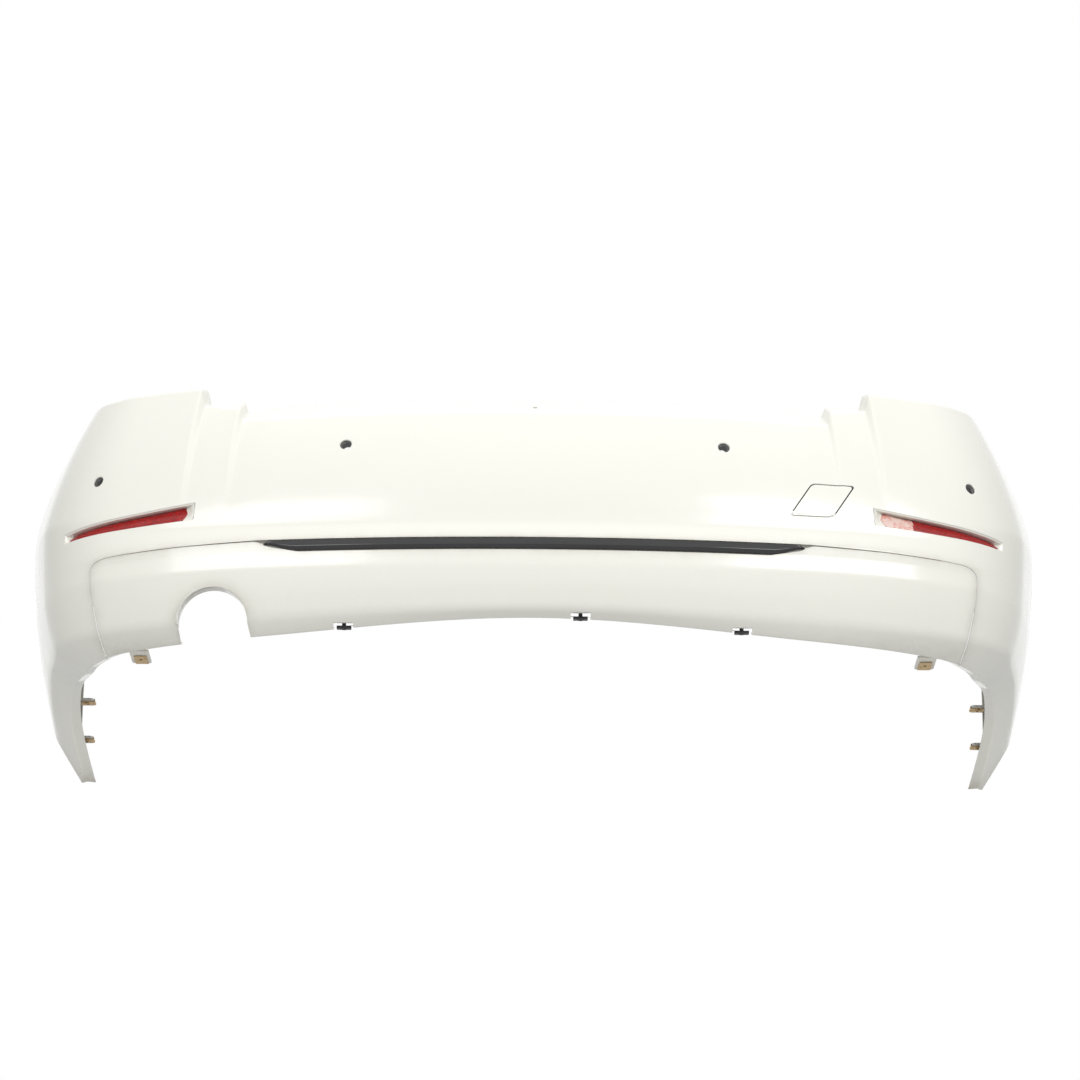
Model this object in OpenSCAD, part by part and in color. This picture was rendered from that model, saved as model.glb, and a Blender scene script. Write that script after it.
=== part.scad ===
// Rear bumper cover of a saloon car: painted main cover with wings that wrap round to the wheel
// arches, a clipped-in lower valance with an exhaust cut-out, a gloss trim strip, red reflectors
// in scooped recesses, four parking-sensor holders, a swinging towing-eye flap and the clip nuts
// that fasten the cover to the car.
//
// Frame: +X to the car's right, +Y towards the front of the car, +Z up. The origin is the middle
// of the centre fixing hole in the upper edge of the cover.
//
// The skin is a lofted surface. A plan line of four arcs runs round the cover from the middle to
// each wheel arch, and s is the distance along it. Rails run along the plan line; each rail has
// an inset (how far it stands inside the plan line) and a height, given at a few stations.

/* [Plan] */
// Radius of the rear face, seen from above
rear_radius = 2600; // [2400:50:2800]
// Radius where the rear face starts to turn into the corner
shoulder_radius = 880; // [860:10:900]
// Radius of the corner, seen from above
corner_radius = 235; // [230:1:240]
// Distance that the plan line stands behind the centre fixing hole
nose = 84; // [82:1:86]
// Thickness of the moulded skin
wall = 3; // [2.6:0.1:3.2]

/* [Wheel arch] */
// Radius of the wheel arch
arch_radius = 350; // [345:1:355]
// Distance from the centre fixing hole forward to the wheel's axle
arch_y = 860; // [856:1:864]
// Height of the wheel's axle below the centre fixing hole
arch_drop = 360; // [356:1:364]
// Height of the foot of each arch arm, below the centre fixing hole
foot_drop = 510; // [506:1:514]
// Distance from the centre fixing hole forward to the front end of each wing
wing_end = 640; // [632:1:648]

/* [Exhaust cut-out] */
// Distance of the cut-out to the left of the middle
exhaust_x = 487; // [480:1:492]
// Radius of the cut-out
exhaust_r = 54; // [50:1:55]
// Depth of the middle of the cut-out below the centre fixing hole
exhaust_drop = 353; // [350:1:356]

/* [Parking sensors] */
// Distance along the plan line to the inner sensors
sensor_inner_s = 298; // [285:1:315]
// Distance along the plan line to the outer sensors
sensor_outer_s = 719; // [712:1:726]
// Diameter of the hole in the skin for each sensor
sensor_hole_d = 18; // [16:0.5:20]
// Diameter of the seat in the holder for each sensor
sensor_seat_d = 15.4; // [14:0.2:15.6]

/* [Towing-eye flap] */
// Width of the flap
flap_w = 66; // [62:1:70]
// Height of the flap, measured on the skin
flap_h = 54; // [52:1:56]
// How far the top edge of the flap leans outward past the bottom edge
flap_lean = 38; // [34:1:40]
// Gap round the flap
flap_gap = 1.8; // [1.7:0.1:2.2]

/* [Fixings] */
// Radius of the screw hole in each clip nut
nut_hole_r = 2.4; // [2:0.1:3]
// Radius of the centre fixing hole
fixing_hole_r = 3.5; // [3:0.1:4]

/* [Hidden] */
$fn = 48;

// ---- Plan line -------------------------------------------------------------------------------

// Each arc: its radius, and the headings that it turns from and to (0 is straight across)
arcs = [[rear_radius, 0, 11], [shoulder_radius, 11, 22], [corner_radius, 22, 72], [2350, 72, 85]];
deg = PI / 180;

function turn(i, heading) = arcs[i][0]
    * [sin(heading) - sin(arcs[i][1]), cos(arcs[i][1]) - cos(heading)];
// Distance along the plan line, and the plan point, where arc i starts
function arc_start(i) = i == 0 ? 0
    : arc_start(i - 1) + arcs[i - 1][0] * (arcs[i - 1][2] - arcs[i - 1][1]) * deg;
function arc_origin(i) = i == 0 ? [0, -nose] : arc_origin(i - 1) + turn(i - 1, arcs[i - 1][2]);
starts = [for (i = [0:len(arcs)]) arc_start(i)];
origins = [for (i = [0:len(arcs) - 1]) arc_origin(i)];
plan_length = starts[len(arcs)];

function arc_at(a) = a < starts[1] ? 0 : a < starts[2] ? 1 : a < starts[3] ? 2 : 3;
function heading(s) = let (a = abs(s), i = arc_at(a))
    arcs[i][1] + (a - starts[i]) / arcs[i][0] / deg;
function plan(s) = let (i = arc_at(abs(s)), p = origins[i] + turn(i, heading(s)))
    [sign(s) * p.x, p.y];
// Unit vector from the plan line into the car
function inward(s) = [-sign(s) * sin(heading(s)), cos(heading(s))];
// Distance along the plan line at which the side of the cover reaches a given y
function side_s(y) = starts[3] + arcs[3][0] * deg
    * (acos(cos(arcs[3][1]) - (y - origins[3].y) / arcs[3][0]) - arcs[3][1]);

// ---- Rails -----------------------------------------------------------------------------------

// Stations along the plan line, from the middle to past the wheel arch
stations = [0, 420, 560, 668, 770, 873, 1010, 1150, 1406];
// Each rail, from the top down: its insets and its heights at the stations
top_edge   = [[69, 72, 88, 92, 88, 78, 52, 34, 16],
              [-10.8, -12, -12, -12, -12, -14, -60, -92, -120]];
break_line = [[17, 17, 17, 14, 8, 5, 6, 7, 5],
              [-185, -185, -185, -181, -174, -168, -160, -152, -140]];
ledge      = [[14, 14, 14, 12, 8, 6, 8, 9, 8],
              [-204, -204, -204, -203, -200, -197, -194, -190, -184]];
groove     = [[2, 2, 3, 5, 8, 9, 12, 16, 19],
              [-227, -228, -233, -240, -243, -243, -243, -243, -243]];
lip_top    = [[2, 2, 3, 5, 8, 10, 13, 17, 21],
              [-247, -248, -251, -255, -257, -258, -260, -262, -264]];
lip        = [[0, 0, 1, 3, 8, 12, 17, 23, 29],
              [-270, -271, -274, -278, -281, -284, -290, -296, -300]];
under      = [[14, 14, 16, 20, 26, 32, 38, 47, 80],
              [-336, -344, -350, -354, -356, -359, -367, -400, -520]];
low_edge   = [[39, 41, 48, 60, 76, 82, 76, 90, 160],
              [-346, -370, -377, -382, -387, -391, -397, -452, -640]];
// Turned-in flange along the top edge: its width and its rise
flange     = [[30, 30, 26, 24, 22, 20, 18, 16, 14], [25, 25, 6, 4, 2, 0, 0, 0, 0]];

// Smooth curve through a list of values at the stations
last = len(stations) - 1;
function station_at(a, i = 0) = i == last - 1 || a < stations[i + 1] ? i : station_at(a, i + 1);
function grade(v, i) = i == 0 ? 0
    : let (j = min(i + 1, last)) (v[j] - v[i - 1]) / (stations[j] - stations[i - 1]);
function curve(v, s) = let (
        a = min(abs(s), stations[last]),
        i = station_at(a),
        h = stations[i + 1] - stations[i],
        t = (a - stations[i]) / h)
    v[i] * (2 * pow(t, 3) - 3 * t * t + 1) + v[i + 1] * (3 * t * t - 2 * pow(t, 3))
    + grade(v, i) * h * (pow(t, 3) - 2 * t * t + t) + grade(v, i + 1) * h * (pow(t, 3) - t * t);
function rail(r, s) = [curve(r[0], s), curve(r[1], s)];
function ramp(x, a, b) = let (t = min(1, max(0, (x - a) / (b - a)))) t * t * (3 - 2 * t);

// The top edge steps up twice, first to the boot seat and then to the corner under the lamp
seat_rise = 22;
seat_slope = 8;
lamp_rise = 30;
seat_from = 474;
seat_to = 486;
lamp_from = 546;
lamp_to = 560;
function top_rise(s) = let (a = abs(s)) seat_rise * ramp(a, seat_from, seat_to)
    + seat_slope * ramp(a, seat_to, lamp_from) + lamp_rise * ramp(a, lamp_from, lamp_to);

// Profile of the outer skin at s, as [inset, height] from the flange down to the lower return
swell = 9;
return_w = 16;
return_rise = 5;
function swelled(a, b, f, out) = a + (b - a) * f - [out * 4 * f * (1 - f), 0];
function profile(s) = let (
        top = rail(top_edge, s) + [0, top_rise(s)],
        brk = rail(break_line, s),
        lp = rail(lip, s),
        un = rail(under, s),
        low = rail(low_edge, s))
    concat([top + rail(flange, s), top],
        [for (f = [0.25, 0.5, 0.75]) swelled(top, brk, f, swell)],
        [brk, rail(ledge, s), rail(groove, s), rail(lip_top, s), lp],
        [swelled(lp, un, 0.5, 2), un, swelled(un, low, 0.5, 2), low],
        [low + [return_w, return_rise]]);

// Inset of the skin at a height z, and the point at a depth inside it
function skin_inset(s, z) = let (p = profile(s))
    lookup(z, [for (i = [1:len(p) - 2]) [p[i][1], p[i][0]]]);
function place(s, inset, z) = let (p = plan(s) + inward(s) * inset) [p.x, p.y, z];
function skin_point(s, z, depth = 0) = place(s, skin_inset(s, z) + depth, z);
function unit(v) = v / norm(v);
// Outward normal of the skin
function skin_normal(s, z) = let (
        across = skin_point(s + 3, z) - skin_point(s - 3, z),
        up = skin_point(s, z + 4) - skin_point(s, z - 4))
    unit(cross(across, up));

// Profile moved inward by a depth, mitred at each rail
function square_off(d) = [-d[1], d[0]];
function offset_profile(p, depth) = [for (i = [0:len(p) - 1]) let (
        end = len(p) - 1,
        d1 = unit(p[max(i, 1)] - p[max(i, 1) - 1]),
        d2 = unit(p[min(i + 1, end)] - p[min(i + 1, end) - 1]),
        n = unit(square_off(d1) + square_off(d2)))
    p[i] + n * depth / max(0.6, n * square_off(d1))];

// ---- Shared solids ---------------------------------------------------------------------------

// Closed solid between two grids of points, each a list of columns
module sheet(outer, inner) {
    n = len(outer);
    m = len(outer[0]);
    k = n * m;
    points = concat([for (c = outer) each c], [for (c = inner) each c]);
    skin_faces = [for (c = [0:n - 2]) for (r = [0:m - 2]) let (a = c * m + r)
        each [[a, a + m, a + 1], [a + 1, a + m, a + m + 1],
              [k + a, k + a + 1, k + a + m], [k + a + 1, k + a + m + 1, k + a + m]]];
    long_faces = [for (c = [0:n - 2]) let (a = c * m, b = c * m + m - 1)
        each [[a, k + a, a + m], [a + m, k + a, k + a + m],
              [b, b + m, k + b], [b + m, k + b + m, k + b]]];
    end_faces = [for (r = [0:m - 2]) let (a = r, b = (n - 1) * m + r)
        each [[a, a + 1, k + a], [a + 1, k + a + 1, k + a],
              [b, k + b, b + 1], [b + 1, k + b, k + b + 1]]];
    polyhedron(points, concat(skin_faces, long_faces, end_faces));
}

// Solid that follows the skin from s0 to s1. Each row is its height at s0 and at s1, and the
// depths of its outer and inner face.
module skin_band(s0, s1, count, rows) {
    steps = [for (i = [0:count]) i / count];
    face = [for (side = [2, 3]) [for (t = steps) [for (r = rows)
        skin_point(s0 + (s1 - s0) * t, r[0] + (r[1] - r[0]) * t, r[side])]]];
    sheet(face[0], face[1]);
}

// Children drawn with +Z along the outward normal of the skin, +X down it and +Y to the right
module on_skin(s, z, depth = 0) {
    n = skin_normal(s, z);
    translate(skin_point(s, z) - n * depth)
        rotate([0, acos(n.z), atan2(n.y, n.x)]) children();
}

// Box from its middle in x and y, and its lowest z
module plate(size, z = 0) {
    translate([-size.x / 2, -size.y / 2, z]) cube(size);
}

// Prism along Y of an outline in x and z
module through(outline, y0 = -150, y1 = 130) {
    translate([0, y1, 0]) rotate([90, 0, 0]) linear_extrude(y1 - y0) polygon(outline);
}

// Outline with each corner rounded over a length cut from both of its sides
function rounded(pts, cuts) = let (n = len(pts))
    [for (i = [0:n - 1]) let (
            q = pts[i],
            a = q + unit(pts[(i + n - 1) % n] - q) * cuts[i],
            b = q + unit(pts[(i + 1) % n] - q) * cuts[i])
        each [for (t = [0:0.25:1]) (1 - t) * (1 - t) * a + 2 * t * (1 - t) * q + t * t * b]];

// ---- Main cover ------------------------------------------------------------------------------

column_half = concat([for (i = [1:11]) i * 40], [seat_from, 480, seat_to, 515],
    [lamp_from, 553, lamp_to], [for (i = [1:19]) lamp_to + i * (plan_length - lamp_to) / 19]);
column_end = len(column_half) - 1;
columns = concat([for (i = [column_end:-1:0]) -column_half[i]], [0], column_half);

module full_skin() {
    sheet([for (s = columns) [for (p = profile(s)) place(s, p[0], p[1])]],
          [for (s = columns) [for (p = offset_profile(profile(s), wall)) place(s, p[0], p[1])]]);
}

// Opening for the valance: right half of its outline, from the middle, in x and z
valance_low = -430;
opening_half = [[420, -229], [545, -234], [630, -239], [664, -242], [679, -247],
                [687, -259], [684, -295], [656, valance_low]];
panel_half = [[356, -248.5], [404, -240], [422, -231], [545, -235], [630, -240], [663, -243],
              [677.5, -248], [685.5, -259.5], [682.8, -295], [654.8, valance_low]];
function both_sides(half) = concat(half,
    [for (i = [len(half) - 1:-1:0]) [-half[i].x, half[i].y]]);

module wheel_arch() {
    translate([-1000, arch_y, -arch_drop])
        rotate([0, 90, 0]) cylinder(h = 2000, r = arch_radius, $fn = 96);
}

// Towing-eye flap and its opening, drawn in the plane of the skin: x is down, y is to the right.
// Corners are rounded by the last value, and the lower right one by more, so that the flap
// clears the opening as it swings.
flap_s = 449;
flap_z = -152;
flap_round = 7;
swing_round = 12;
function flap_corners(w, h, lean) =
    [[-h / 2, -w / 2 + lean / 2], [-h / 2, w / 2 + lean / 2],
     [h / 2, w / 2 - lean / 2], [h / 2, -w / 2 - lean / 2]];
flap_slope = sqrt(1 + pow(flap_lean / flap_h, 2));
opening_outline = rounded(
    flap_corners(flap_w + 2 * flap_gap * flap_slope, flap_h + 2 * flap_gap,
        flap_lean * (1 + 2 * flap_gap / flap_h)),
    [flap_round, flap_round, flap_round, flap_round]);
flap_outline = rounded(flap_corners(flap_w, flap_h, flap_lean),
    [flap_round, flap_round, swing_round, flap_round]);

// The flap's pin lies along its lower edge, and its ends turn in an ear at each side
hinge_down = flap_h / 2 - 3;
hinge_depth = 3.5;
hinge_shift = -flap_lean * hinge_down / flap_h;
pin_r = 1.2;
pin_clearance = 0.08;
pin_half = flap_w / 2 + 7;
ear_from = flap_w / 2 + 3.6;
ear_t = 5;

// Cylinder along the hinge line, between two distances to the right of its middle
module along_hinge(from, to, r) {
    translate([hinge_down, hinge_shift + from, -hinge_depth])
        rotate([-90, 0, 0]) cylinder(h = to - from, r = r);
}
// Ear behind the skin that holds one end of the flap's pin
module hinge_ear(side) {
    y = hinge_shift + (side > 0 ? ear_from : -ear_from - ear_t);
    translate([hinge_down - 4.5, y, -hinge_depth - 4]) cube([9, ear_t, 5]);
}

// Recess over a reflector: a shelf above it and the opening that it fills. Heights are at the
// inner and the outer end.
recess_from = 530;
recess_to = 774;
recess_top = [-159, -191];
recess_low = [-188, -206];
shelf_t = 2.5;
shelf_depth = 24;

module recess_shelf(side) {
    skin_band(side * recess_from, side * recess_to, 9,
        [[recess_top[0], recess_top[1], 1, shelf_depth],
         [recess_top[0] - shelf_t, recess_top[1] - shelf_t, 1, shelf_depth]]);
}
module recess_opening(side) {
    skin_band(side * (recess_from + 2), side * (recess_to - 2), 9,
        [[recess_top[0] - shelf_t, recess_top[1] - shelf_t, -8, shelf_depth + 6],
         [recess_low[0], recess_low[1], -8, shelf_depth + 6]]);
}

// Height of each inner and outer sensor, with its distance along the plan line
sensor_places = [[sensor_inner_s, -68], [sensor_outer_s, -108]];

module bumper_cover() {
    color("ivory") difference() {
        union() {
            full_skin();
            on_skin(flap_s, flap_z) for (side = [-1, 1]) hinge_ear(side);
            for (side = [-1, 1]) recess_shelf(side);
        }
        through(both_sides(opening_half));
        wheel_arch();
        translate([-1000, -200, -700]) cube([2000, 1000, 700 - foot_drop]);
        translate([-1000, wing_end, -200]) cube([2000, 200, 400]);
        for (side = [-1, 1]) {
            for (hole = sensor_places)
                on_skin(side * hole[0], hole[1], 10) cylinder(h = 20, d = sensor_hole_d);
            recess_opening(side);
        }
        on_skin(flap_s, flap_z, 8) linear_extrude(12) polygon(opening_outline);
        on_skin(flap_s, flap_z) along_hinge(-pin_half - 0.5, pin_half + 0.5, pin_r + pin_clearance);
        rotate([atan2(flange[1][0], flange[0][0]), 0, 0])
            cylinder(h = 16, r = fixing_hole_r, center = true);
    }
}

// ---- Lower valance ---------------------------------------------------------------------------

// Tabs under the lower edge that carry a clip nut each, tilted down towards the front
tab_tilt = 15;
tab_t = 3;
tab_hole_r = 3.6;
module at_lower_tab(side) {
    translate([side * 610, 88, -385]) rotate([-tab_tilt, 0, 0]) children();
}
module lower_tab(side) {
    at_lower_tab(side) translate([-15, -27, -tab_t / 2]) cube([30, 41, tab_t]);
}

// Outline of the exhaust cut-out below its middle: straight sides down past the lower edge
exhaust_sides = [[-exhaust_r, 0], [exhaust_r, 0], [exhaust_r + 12, -60], [-exhaust_r + 6, -60]];
collar_t = 2.5;

module valance_panel() {
    color("ivory") difference() {
        union() {
            intersection() {
                full_skin();
                through(both_sides(panel_half));
            }
            exhaust_collar();
            for (side = [-1, 1]) lower_tab(side);
        }
        translate([-exhaust_x, 50, -exhaust_drop]) rotate([90, 0, 0])
            cylinder(h = 200, r = exhaust_r);
        translate([-exhaust_x, 0, -exhaust_drop]) through(exhaust_sides);
        for (side = [-1, 1]) at_lower_tab(side) cylinder(h = 20, r = tab_hole_r, center = true);
        for (x = edge_clip_x) edge_notch(x);
    }
}
// Turned-in rim over the exhaust cut-out
module exhaust_collar() {
    translate([-exhaust_x, 4, -exhaust_drop]) rotate([90, 0, 0]) intersection() {
        cylinder(h = 24, r = exhaust_r + collar_t);
        translate([-100, 0, 0]) cube([200, 100, 30]);
    }
}

// Distances across the car of the clips along the lower edge, each in a notch in the edge
edge_clip_x = [-287, 71, 316];
notch_w = 30;
notch_h = 7;
module at_edge_clip(x) {
    low = rail(low_edge, x);
    translate([x, plan(x).y + low[0], low[1]]) children();
}
module edge_notch(x) {
    at_edge_clip(x) translate([-notch_w / 2, -20, notch_h - 30]) cube([notch_w, 60, 30]);
}

// ---- Trim strip ------------------------------------------------------------------------------

strip_half = 413;
strip_taper = 52;
strip_nose = 8;
function strip_top(s) = -230 - 4.5 * ramp(abs(s), strip_half - strip_nose, strip_half);
function strip_low(s) = -246.5 + 10.5 * ramp(abs(s), strip_half - strip_taper, strip_half);
function strip_row(s) = let (top = strip_top(s), low = strip_low(s))
    [[top, 1], [top + (low - top) * 0.62, -2], [low, 1.5]];
strip_back = 5;

module trim_strip() {
    half = [for (i = [0:9]) i * 40];
    ends = [376, 388, 398, 405, 409, strip_half];
    side = concat(half, ends);
    cols = concat([for (i = [len(side) - 1:-1:1]) -side[i]], side);
    color("black") sheet(
        [for (s = cols) [for (r = strip_row(s)) skin_point(s, r[0], r[1])]],
        [for (s = cols) [for (r = strip_row(s)) skin_point(s, r[0], strip_back)]]);
}

// ---- Reflectors ------------------------------------------------------------------------------

lens_from = 545;
lens_to = 764;
lens_t = 5;
lens_depths = [12, 7, 3];
back_t = 7;
lens_gap = 0.3;
function recess_at(ends, s) = ends[0]
    + (ends[1] - ends[0]) * (s - recess_from) / (recess_to - recess_from);
function lens_height(s, i) = let (
        high = recess_at(recess_top, s) - shelf_t - 1,
        low = recess_at(recess_low, s) + 1)
    high + (low - high) * i / 2;
// Rows between two distances along the plan line and two extra depths behind the lens face
function lens_rows(from, to, d0, d1) = [for (i = [0:2])
    [lens_height(from, i), lens_height(to, i), lens_depths[i] + d0, lens_depths[i] + d1]];

module reflector_lens(side) {
    color("firebrick") skin_band(side * lens_from, side * lens_to, 12,
        lens_rows(lens_from, lens_to, 0, lens_t));
}
module reflector_back(side) {
    from = lens_from + 4;
    to = lens_to - 4;
    color("dimgray") skin_band(side * from, side * to, 12,
        lens_rows(from, to, lens_t + lens_gap, lens_t + lens_gap + back_t));
}
// Spring clips pushed on to the back of the reflector
reflector_clip_s = [lens_from + 40, lens_to - 40];
reflector_clip_depth = 30;
module reflector_clips(side) {
    color("silver") for (s = reflector_clip_s)
        on_skin(side * s, lens_height(s, 1), reflector_clip_depth) spring_clip(12, 18);
}

// ---- Towing-eye flap -------------------------------------------------------------------------

flap_rows = [-118, -126, -134, -142, -150, -168, -186];
barrel_r = 2.3;
latch = [3, 20, 7];
module tow_flap() {
    color("ivory") {
        intersection() {
            skin_band(flap_s - 62, flap_s + 62, 10, [for (z = flap_rows) [z, z, 0, wall]]);
            on_skin(flap_s, flap_z, 10) linear_extrude(20) polygon(flap_outline);
        }
        on_skin(flap_s, flap_z) {
            along_hinge(-pin_half, pin_half, pin_r);
            along_hinge(8 - flap_w / 2, flap_w / 2 - 8, barrel_r);
            translate([4 - flap_h / 2, flap_lean / 2 - latch.y / 2, -2 - latch.z]) cube(latch);
        }
    }
}

// ---- Parking-sensor holders ------------------------------------------------------------------

holder_gap = 4.6;
holder_flange_r = 19;
holder_flange_t = 2;
holder_r = 11.5;
holder_depth = 14;
module sensor_holder(place) {
    color("dimgray") on_skin(place[0], place[1]) difference() {
        union() {
            translate([0, 0, -holder_gap - holder_flange_t])
                cylinder(h = holder_flange_t, r = holder_flange_r);
            translate([0, 0, -holder_gap - holder_depth]) cylinder(h = holder_depth, r = holder_r);
            for (side = [-1, 1]) translate([0, side * (holder_r + 1.5), -holder_gap - holder_depth])
                plate([8, 5, holder_depth - 1]);
        }
        translate([0, 0, -30]) cylinder(h = 30, d = sensor_seat_d);
    }
}
module sensor_holder_outer_left() { sensor_holder([-sensor_outer_s, sensor_places[1][1]]); }
module sensor_holder_inner_left() { sensor_holder([-sensor_inner_s, sensor_places[0][1]]); }
module sensor_holder_inner_right() { sensor_holder([sensor_inner_s, sensor_places[0][1]]); }
module sensor_holder_outer_right() { sensor_holder([sensor_outer_s, sensor_places[1][1]]); }

// ---- Wheel-arch lips -------------------------------------------------------------------------

lip_t = 2.5;
lip_gap = 2.5;
lip_top_z = -120;
lip_foot_z = 4 - foot_drop;
lip_x = 777;
lip_foot_x = 757;
arch_tab_x = 767;
arch_tab_z = [-377, -441];
arch_tab_back = 12;

// x of the skin on the right side, at a given y and z, at a depth inside it
function side_x(y, z, depth) = let (
        s0 = side_s(y),
        i0 = skin_inset(s0, z) + depth,
        s1 = side_s(y - i0 * cos(heading(s0))))
    skin_point(s1, z, depth).x;
function arch_point(z, r) = let (h = z + arch_drop) [arch_y - sqrt(r * r - h * h), z];
function lip_points(z, r) = let (
        p = arch_point(z, r),
        inner = lip_x - (lip_x - lip_foot_x) * ramp(-z, 420, foot_drop))
    [[inner, p.x, z], [side_x(p.x, z, wall + lip_gap), p.x, z]];

module arch_lip_right() {
    levels = [for (i = [0:24]) lip_foot_z + (lip_top_z - lip_foot_z) * i / 24];
    color("ivory") difference() {
        union() {
            sheet([for (z = levels) lip_points(z, arch_radius + lip_t)],
                  [for (z = levels) lip_points(z, arch_radius)]);
            for (z = arch_tab_z) at_arch_tab(z)
                translate([-arch_tab_back - 1, -22, -tab_t / 2]) cube([24, 34, tab_t]);
        }
        for (z = arch_tab_z) at_arch_tab(z) cylinder(h = 12, r = tab_hole_r, center = true);
    }
}
module arch_lip_left() { mirror([1, 0, 0]) arch_lip_right(); }

// Children drawn at a tab on the right arch lip, with +Y towards the middle of the car
module at_arch_tab(z) {
    translate([arch_tab_x, arch_point(z, arch_radius).x - arch_tab_back, z])
        rotate([-tab_tilt, 0, 0]) rotate([0, 0, 90]) children();
}

// ---- Clip nuts and clips ---------------------------------------------------------------------

leaf_t = 0.9;
leaf_gap = 0.2;
nut_boss_r = 4.6;
nut_boss_h = 2.4;
// Sprung clip nut pushed over the free end of a tab, with its hole at the origin
module clip_nut(w, back, front) {
    color("goldenrod") difference() {
        union() {
            for (z = [-tab_t / 2 - leaf_gap - leaf_t, tab_t / 2 + leaf_gap])
                translate([-w / 2, -back, z]) cube([w, back + front + leaf_gap + leaf_t, leaf_t]);
            translate([-w / 2, front + leaf_gap, -tab_t / 2 - leaf_gap - leaf_t])
                cube([w, leaf_t, tab_t + 2 * (leaf_gap + leaf_t)]);
            translate([0, 0, tab_t / 2 + leaf_gap]) cylinder(h = nut_boss_h, r = nut_boss_r);
        }
        cylinder(h = 20, r = nut_hole_r, center = true);
    }
}
module arch_nuts_right() {
    for (z = arch_tab_z) at_arch_tab(z) mirror([0, 0, 1]) clip_nut(15, 9, 12);
}
module arch_nuts_left() { mirror([1, 0, 0]) arch_nuts_right(); }
module lower_nut(side) { at_lower_tab(side) clip_nut(20, 12, 14); }

// Expanding clips in the notches of the lower edge: a flat head and a split shank above it
edge_head = [22, 12, 5];
module edge_clips() {
    color("black") for (x = edge_clip_x) at_edge_clip(x) translate([0, 9, 0]) difference() {
        union() {
            plate(edge_head, 0.5);
            cylinder(h = 14, r = 3.3);
        }
        cylinder(h = 40, r = nut_hole_r, center = true);
    }
}

// Spring clips behind the trim strip and across the groove round the valance
module spring_clip(w, h) {
    plate([h, w, 1.2]);
    for (edge = [-1, 1]) translate([edge * (h / 2 - 0.6), 0, 0]) plate([1.2, w, 5]);
}
strip_clip_s = [-350, -210, -70, 70, 210, 350];
module strip_clips() {
    color("silver") for (s = strip_clip_s) on_skin(s, -238, 14) spring_clip(14, 22);
}
valance_clip_s = [480, 560, 635];
module valance_clips() {
    color("silver") for (side = [-1, 1]) for (s = valance_clip_s)
        on_skin(side * s, -236, 16) spring_clip(16, 26);
}

bumper_cover();
valance_panel();
trim_strip();
reflector_lens(-1);  // reflector_lens_left
reflector_lens(1);  // reflector_lens_right
reflector_back(-1);  // reflector_back_left
reflector_back(1);  // reflector_back_right
reflector_clips(-1);  // reflector_clips_left
reflector_clips(1);  // reflector_clips_right
tow_flap();
sensor_holder_outer_left();
sensor_holder_inner_left();
sensor_holder_inner_right();
sensor_holder_outer_right();
arch_lip_left();
arch_lip_right();
arch_nuts_left();
arch_nuts_right();
lower_nut(-1);  // lower_nut_left
lower_nut(1);  // lower_nut_right
edge_clips();
strip_clips();
valance_clips();
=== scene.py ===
import bpy
import bmesh
import math
import numpy as np
from mathutils import Matrix, Vector


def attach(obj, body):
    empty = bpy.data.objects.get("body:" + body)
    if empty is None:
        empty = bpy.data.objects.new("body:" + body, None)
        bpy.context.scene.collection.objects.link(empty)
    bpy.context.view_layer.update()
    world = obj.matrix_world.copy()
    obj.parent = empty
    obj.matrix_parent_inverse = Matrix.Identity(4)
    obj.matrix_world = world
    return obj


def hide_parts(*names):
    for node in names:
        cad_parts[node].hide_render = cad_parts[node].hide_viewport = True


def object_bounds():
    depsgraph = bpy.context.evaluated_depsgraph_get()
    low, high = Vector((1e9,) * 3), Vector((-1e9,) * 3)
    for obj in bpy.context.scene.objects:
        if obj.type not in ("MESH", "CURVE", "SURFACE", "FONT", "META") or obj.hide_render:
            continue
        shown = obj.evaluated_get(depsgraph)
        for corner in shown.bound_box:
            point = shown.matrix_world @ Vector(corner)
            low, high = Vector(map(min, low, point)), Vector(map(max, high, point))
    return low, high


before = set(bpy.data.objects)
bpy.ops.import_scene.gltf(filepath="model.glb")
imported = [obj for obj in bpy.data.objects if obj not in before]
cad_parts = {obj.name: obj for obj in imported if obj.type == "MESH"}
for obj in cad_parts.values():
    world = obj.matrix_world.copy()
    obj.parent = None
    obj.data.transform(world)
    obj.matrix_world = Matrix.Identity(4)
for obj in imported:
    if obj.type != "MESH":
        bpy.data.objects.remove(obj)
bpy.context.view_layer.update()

# Rear bumper cover of a saloon car. Lengths in the geometry below are in millimetres, in the
# frame of the CAD model, and MM turns them into metres when a mesh is made.
MM = 0.001
SIDES = (("left", -1), ("right", 1))

# ---- The skin: a plan line of four arcs, and rails along it ------------------------------------

NOSE = 84
WALL = 3
# Radius of each arc, and the heading at which it ends
ARCS = [(2600, 11), (880, 22), (235, 72), (2350, 85)]
STATIONS = [0, 420, 560, 668, 770, 873, 1010, 1150, 1406]
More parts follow.
